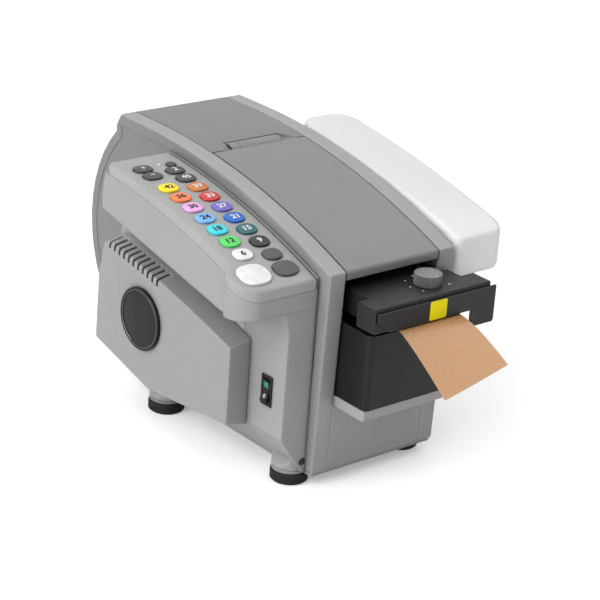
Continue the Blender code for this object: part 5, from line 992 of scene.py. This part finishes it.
def tapeTongue():
    t = tongueLook
    bm = bmesh.new()
    firstRun = t["exitY"] - t["startY"]
    sides = []
    for offset in (t["thick"] / 2, -t["thick"] / 2):
        grid = []
        for row in range(t["rows"] + 1):
            run = firstRun + (t["run"] - firstRun) * row / t["rows"]
            line = []
            for column in range(t["columns"] + 1):
                share = column / t["columns"]
                here = tonguePoint(share, run)
                along = tonguePoint(share, run + t["nearRun"]) - here
                across = tonguePoint(share + t["nearShare"], run) - here
                line.append(bm.verts.new(here + along.cross(across).normalized() * -offset))
            grid.append(line)
        sides.append(grid)
    for number, grid in enumerate(sides):
        for upperLine, lowerLine in zip(grid, grid[1:]):
            for column in range(t["columns"]):
                after = column + 1
                corners = (upperLine[column], upperLine[after], lowerLine[after], lowerLine[column])
                bm.faces.new(corners).material_index = number
    upper, lower = (
        [line[0] for line in grid] + grid[-1][1:] + [line[-1] for line in grid[-2::-1]] for grid in sides
    )
    for step in range(len(upper) - 1):
        bm.faces.new((upper[step], upper[step + 1], lower[step + 1], lower[step]))
    tongue = finishPiece("tape_length", bm, ["kraftPaper", "gummedPaper"], bodyOf["tape_tongue"], 60.0)
    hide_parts("tape_tongue")
    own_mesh(tongue)


tapeTongue()
print("tape built")


# Bristles of the two moistening brushes.

brushLook = dict(
    back=0.004, backFoot=0.0004, backRound=0.0006, columns=92, rows=5, width=0.00032, taper=0.55, root=0.0005,
    spreadOut=0.0011, top=0.1708, uneven=0.0009, gap=0.0046, margin=0.0012, swayX=0.00025, swayY=0.00030,
)


def bristle(bm, x, y, number, root):  # a thin three-sided bristle that leans its own way
    b = brushLook
    x += b["swayX"] * math.sin(number * 3.7)
    y += b["swayY"] * math.cos(number * 5.1)
    leanX = b["spreadOut"] * math.sin(number * 2.399)
    leanY = b["spreadOut"] * math.cos(number * 1.733)
    tip = b["top"] - b["uneven"] * abs(math.sin(number * 0.77))
    foot, head = [], []
    for corner in range(3):
        turn = math.tau * corner / 3 + number
        outX, outY = math.cos(turn) * b["width"], math.sin(turn) * b["width"]
        foot.append(bm.verts.new((x + outX, y + outY, root)))
        head.append(bm.verts.new((x + leanX + outX * b["taper"], y + leanY + outY * b["taper"], tip)))
    for corner in range(3):
        after = (corner + 1) % 3
        bm.faces.new((foot[corner], foot[after], head[after], head[corner]))
    bm.faces.new(head)


def moisteningBristles():
    b = brushLook
    low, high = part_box("moistening_brushes")
    middleY = (low.y + high.y) / 2
    backTop = low.z + b["back"]
    bm = bmesh.new()
    rings = []
    foot, crest = b["backFoot"], b["backRound"]
    for inset, z in ((foot, low.z), (0.0, low.z + foot), (0.0, backTop - crest), (crest, backTop)):
        corners = boxCorners(low.x + inset, low.y + inset, high.x - inset, high.y - inset)
        rings.append([(x, y, z) for x, y in corners])
    solidSkin(bm, rings, 1)
    frontBand = (low.y + b["margin"], middleY - b["gap"] / 2)
    rearBand = (middleY + b["gap"] / 2, high.y - b["margin"])
    first, span = low.x + b["margin"], high.x - low.x - 2 * b["margin"]
    number = 0
    for bandLow, bandHigh in (frontBand, rearBand):
        for row in range(b["rows"]):
            y = bandLow + (bandHigh - bandLow) * (row + 0.5) / b["rows"]
            for column in range(b["columns"]):
                number += 1
                x = first + span * (column + 0.5) / b["columns"]
                bristle(bm, x, y, number, backTop - b["root"])
    body = bodyOf["moistening_brushes"]
    bristles = finishPiece("bristle_bands", bm, ["brushNylon", "capBlack"], body, 60.0)
    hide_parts("moistening_brushes")


moisteningBristles()
print("bristles built")


# Recessed case screw at the foot of the housing. The recess is a black cup: painted shade inside the recess.

screwLook = dict(
    centre=(-0.0745, -0.1212, 0.0265), radius=0.0036,
    parts=(  # name, finish, share of the radius, steps, profile as (share, distance)
        # the recess cup is black: painted shade inside the recess
        ("screw_recess_shade", "switchBlack", 1.0, 40,
         ((1.0, 0.0), (1.0, 0.0003), (0.93, 0.00045), (0.82, 0.00012), (0.80, 0.00012))),
        ("screw_head", "screwZinc", 0.68, 36,
         ((1.0, 0.0001), (1.0, 0.0003), (0.9, 0.0004), (0.3, 0.00042), (0.28, 0.0002))),
    ),
)


def caseScrew():
    for name, finishName, share, steps, shape in screwLook["parts"]:
        reach = screwLook["radius"] * share
        profile = [(reach * part, along) for part, along in shape]
        bm = bmesh.new()
        rows = skinRings(bm, turnedRings(Vector(screwLook["centre"]), (0, -1, 0), (1, 0, 0), profile, steps))
        bm.faces.new(rows[-1])
        finishPiece(name, bm, [finishName], "machine")


caseScrew()
print("screw built")


# Barrel of the cover's hinge, the lid's lip behind it, and the cheek of the housing behind the side cover.

barrelLook = dict(
    left=-0.0241, right=0.0384, joint=-0.0135, outer=0.0136, inner=0.0119, first=30, last=131, steps=32,
    bend=0.0004, groove=0.0006,
)
lipLook = dict(
    left=-0.0247, right=0.0396, radius=0.01385, first=64, last=50, steps=6,
    top=((0.09015, 0.2691), (0.09015, 0.271735), (0.0873, 0.2715), (0.0871, 0.2713)),
)
cheekLook = dict(low=(-0.0620, 0.1240), high=(-0.0180, 0.1500), outer=-0.1013, thick=0.0012, bend=0.0008)


def pinArc(look, radius):  # points (y, z) on an arc about the hinge pin
    pin = centreOf("lid_hinge_pin")
    points = []
    for step in range(look["steps"] + 1):
        turn = math.radians(look["first"] + (look["last"] - look["first"]) * step / look["steps"])
        points.append((pin.y + math.cos(turn) * radius, pin.z + math.sin(turn) * radius))
    return points


def hingeBarrel():  # turns about the pin with the cover, and closes the slot behind it
    b = barrelLook
    half = b["groove"] / 2
    stations = [  # (x, how far the surface is set back)
        (b["left"], b["bend"]), (b["left"] + b["bend"], 0.0),
        (b["joint"] - half * 2, 0.0), (b["joint"] - half, b["groove"]),
        (b["joint"] + half, b["groove"]), (b["joint"] + half * 2, 0.0),
        (b["right"] - b["bend"], 0.0), (b["right"], b["bend"]),
    ]
    rings = []
    for x, inset in stations:
        outline = pinArc(b, b["inner"]) + pinArc(b, b["outer"] - inset)[::-1]
        rings.append([(x, y, z) for y, z in outline])
    bm = bmesh.new()
    solidSkin(bm, rings)
    finishPiece("hinge_barrel", bm, ["coverGrey"], "front_cover", 40.0)


def lidLip():  # fills the notch between the lid's front edge and the barrel
    outline = pinArc(lipLook, lipLook["radius"]) + list(lipLook["top"])
    bm = bmesh.new()
    solidSkin(bm, [[(x, y, z) for y, z in outline] for x in (lipLook["left"], lipLook["right"])])
    finishPiece("lid_lip", bm, ["lidGrey"], "rear_lid", 40.0)


def housingCheek():
    (lowY, lowZ), (highY, highZ) = cheekLook["low"], cheekLook["high"]
    rings = []
    for x, inset in ((0.0, cheekLook["bend"]), (cheekLook["bend"], 0.0), (cheekLook["thick"], 0.0)):
        corners = boxCorners(lowY + inset, lowZ + inset, highY - inset, highZ - inset)
        rings.append([(cheekLook["outer"] + x, y, z) for y, z in corners])
    bm = bmesh.new()
    solidSkin(bm, rings)
    finishPiece("housing_cheek", bm, ["housingGrey"], "machine", 60.0)


hingeBarrel()
lidLip()
housingCheek()
print("barrel, lip and cheek built")


# Floor, light and camera.

stageLook = dict(
    reach=14.0, level=-0.0001, colour=(0.93, 0.93, 0.93), drift=0.99, cloud=3.0, rough=0.9, shine=0.1,
    fill=0.20, lift=0.30,
)
lampRows = {  # name: (direction to the lamp, strength, angular width in degrees)
    "windowLeft": ((-0.88, -0.10, 0.46), 2.7, 55.0),
    "ceilingSoft": ((0.12, 0.05, 1.0), 1.7, 90.0),
}
cameraLook = dict(
    place=(-1.17670509, -1.38332418, 0.87686321), lens=120.0, sensor=36.0, clip=(0.05, 60.0),
    right=(0.77422061, -0.62927811, 0.06776069),
    up=(0.19125385, 0.33466469, 0.92272505),
    back=(-0.60332778, -0.70143326, 0.37945616),
)
white = (1.0, 1.0, 1.0, 1.0)


def paleFloor():
    s = stageLook
    finish, tree, shader = newFinish("floorPaper")
    cloud = noiseOf(tree, objectPlace(tree), s["cloud"])
    tone = toneRamp(tree, cloud, shade(s["colour"], s["drift"]), s["colour"])
    feed(tree, shader, {"Base Color": tone, "Roughness": s["rough"], "Specular IOR Level": s["shine"]})
    seen = put(tree, "ShaderNodeLightPath").outputs["Is Camera Ray"]
    glow = maths(tree, "MULTIPLY", seen, s["lift"])
    feed(tree, shader, {"Emission Strength": glow, "Emission Color": white})
    bm = bmesh.new()
    bmesh.ops.create_grid(bm, x_segments=2, y_segments=2, size=s["reach"])
    mesh = bpy.data.meshes.new("floor")
    bm.to_mesh(mesh)
    bm.free()
    mesh.materials.append(finish)
    floor = bpy.data.objects.new("floor", mesh)
    floor.location.z = s["level"]
    bpy.context.scene.collection.objects.link(floor)


def softLight():
    for name, (direction, strength, width) in lampRows.items():
        lamp = bpy.data.lights.new(name, "SUN")
        lamp.energy = strength
        lamp.angle = math.radians(width)
        holder = bpy.data.objects.new(name, lamp)
        holder.rotation_mode = "QUATERNION"
        holder.rotation_quaternion = Vector(direction).to_track_quat("Z", "Y")
        bpy.context.scene.collection.objects.link(holder)


def whiteRoom():  # pale fill for the object, plain white where it is looked at, mirrored or looked through
    world = bpy.data.worlds.new("whiteRoom")
    bpy.context.scene.world = world
    world.use_nodes = True
    tree = world.node_tree
    tree.nodes.clear()
    path = put(tree, "ShaderNodeLightPath").outputs
    seen = maths(tree, "MAXIMUM", path["Is Camera Ray"], path["Is Glossy Ray"])
    seen = maths(tree, "MAXIMUM", seen, path["Is Transmission Ray"])
    fill = put(tree, "ShaderNodeBackground", {"Color": white, "Strength": stageLook["fill"]})
    plain = put(tree, "ShaderNodeBackground", {"Color": white, "Strength": 1.0})
    both = put(tree, "ShaderNodeMixShader", {0: seen, 1: fill.outputs[0], 2: plain.outputs[0]})
    put(tree, "ShaderNodeOutputWorld", {"Surface": both.outputs[0]})


def photoCamera():
    lens = bpy.data.cameras.new("photoCamera")
    lens.lens = cameraLook["lens"]
    lens.sensor_width = cameraLook["sensor"]
    lens.clip_start, lens.clip_end = cameraLook["clip"]
    holder = bpy.data.objects.new("photoCamera", lens)
    axes = Matrix((cameraLook["right"], cameraLook["up"], cameraLook["back"])).transposed()
    holder.matrix_world = Matrix.Translation(cameraLook["place"]) @ axes.to_4x4()
    bpy.context.scene.collection.objects.link(holder)
    bpy.context.scene.camera = holder


paleFloor()
softLight()
whiteRoom()
photoCamera()
bpy.context.scene.view_settings.view_transform = "Standard"
print("floor, light and camera set")
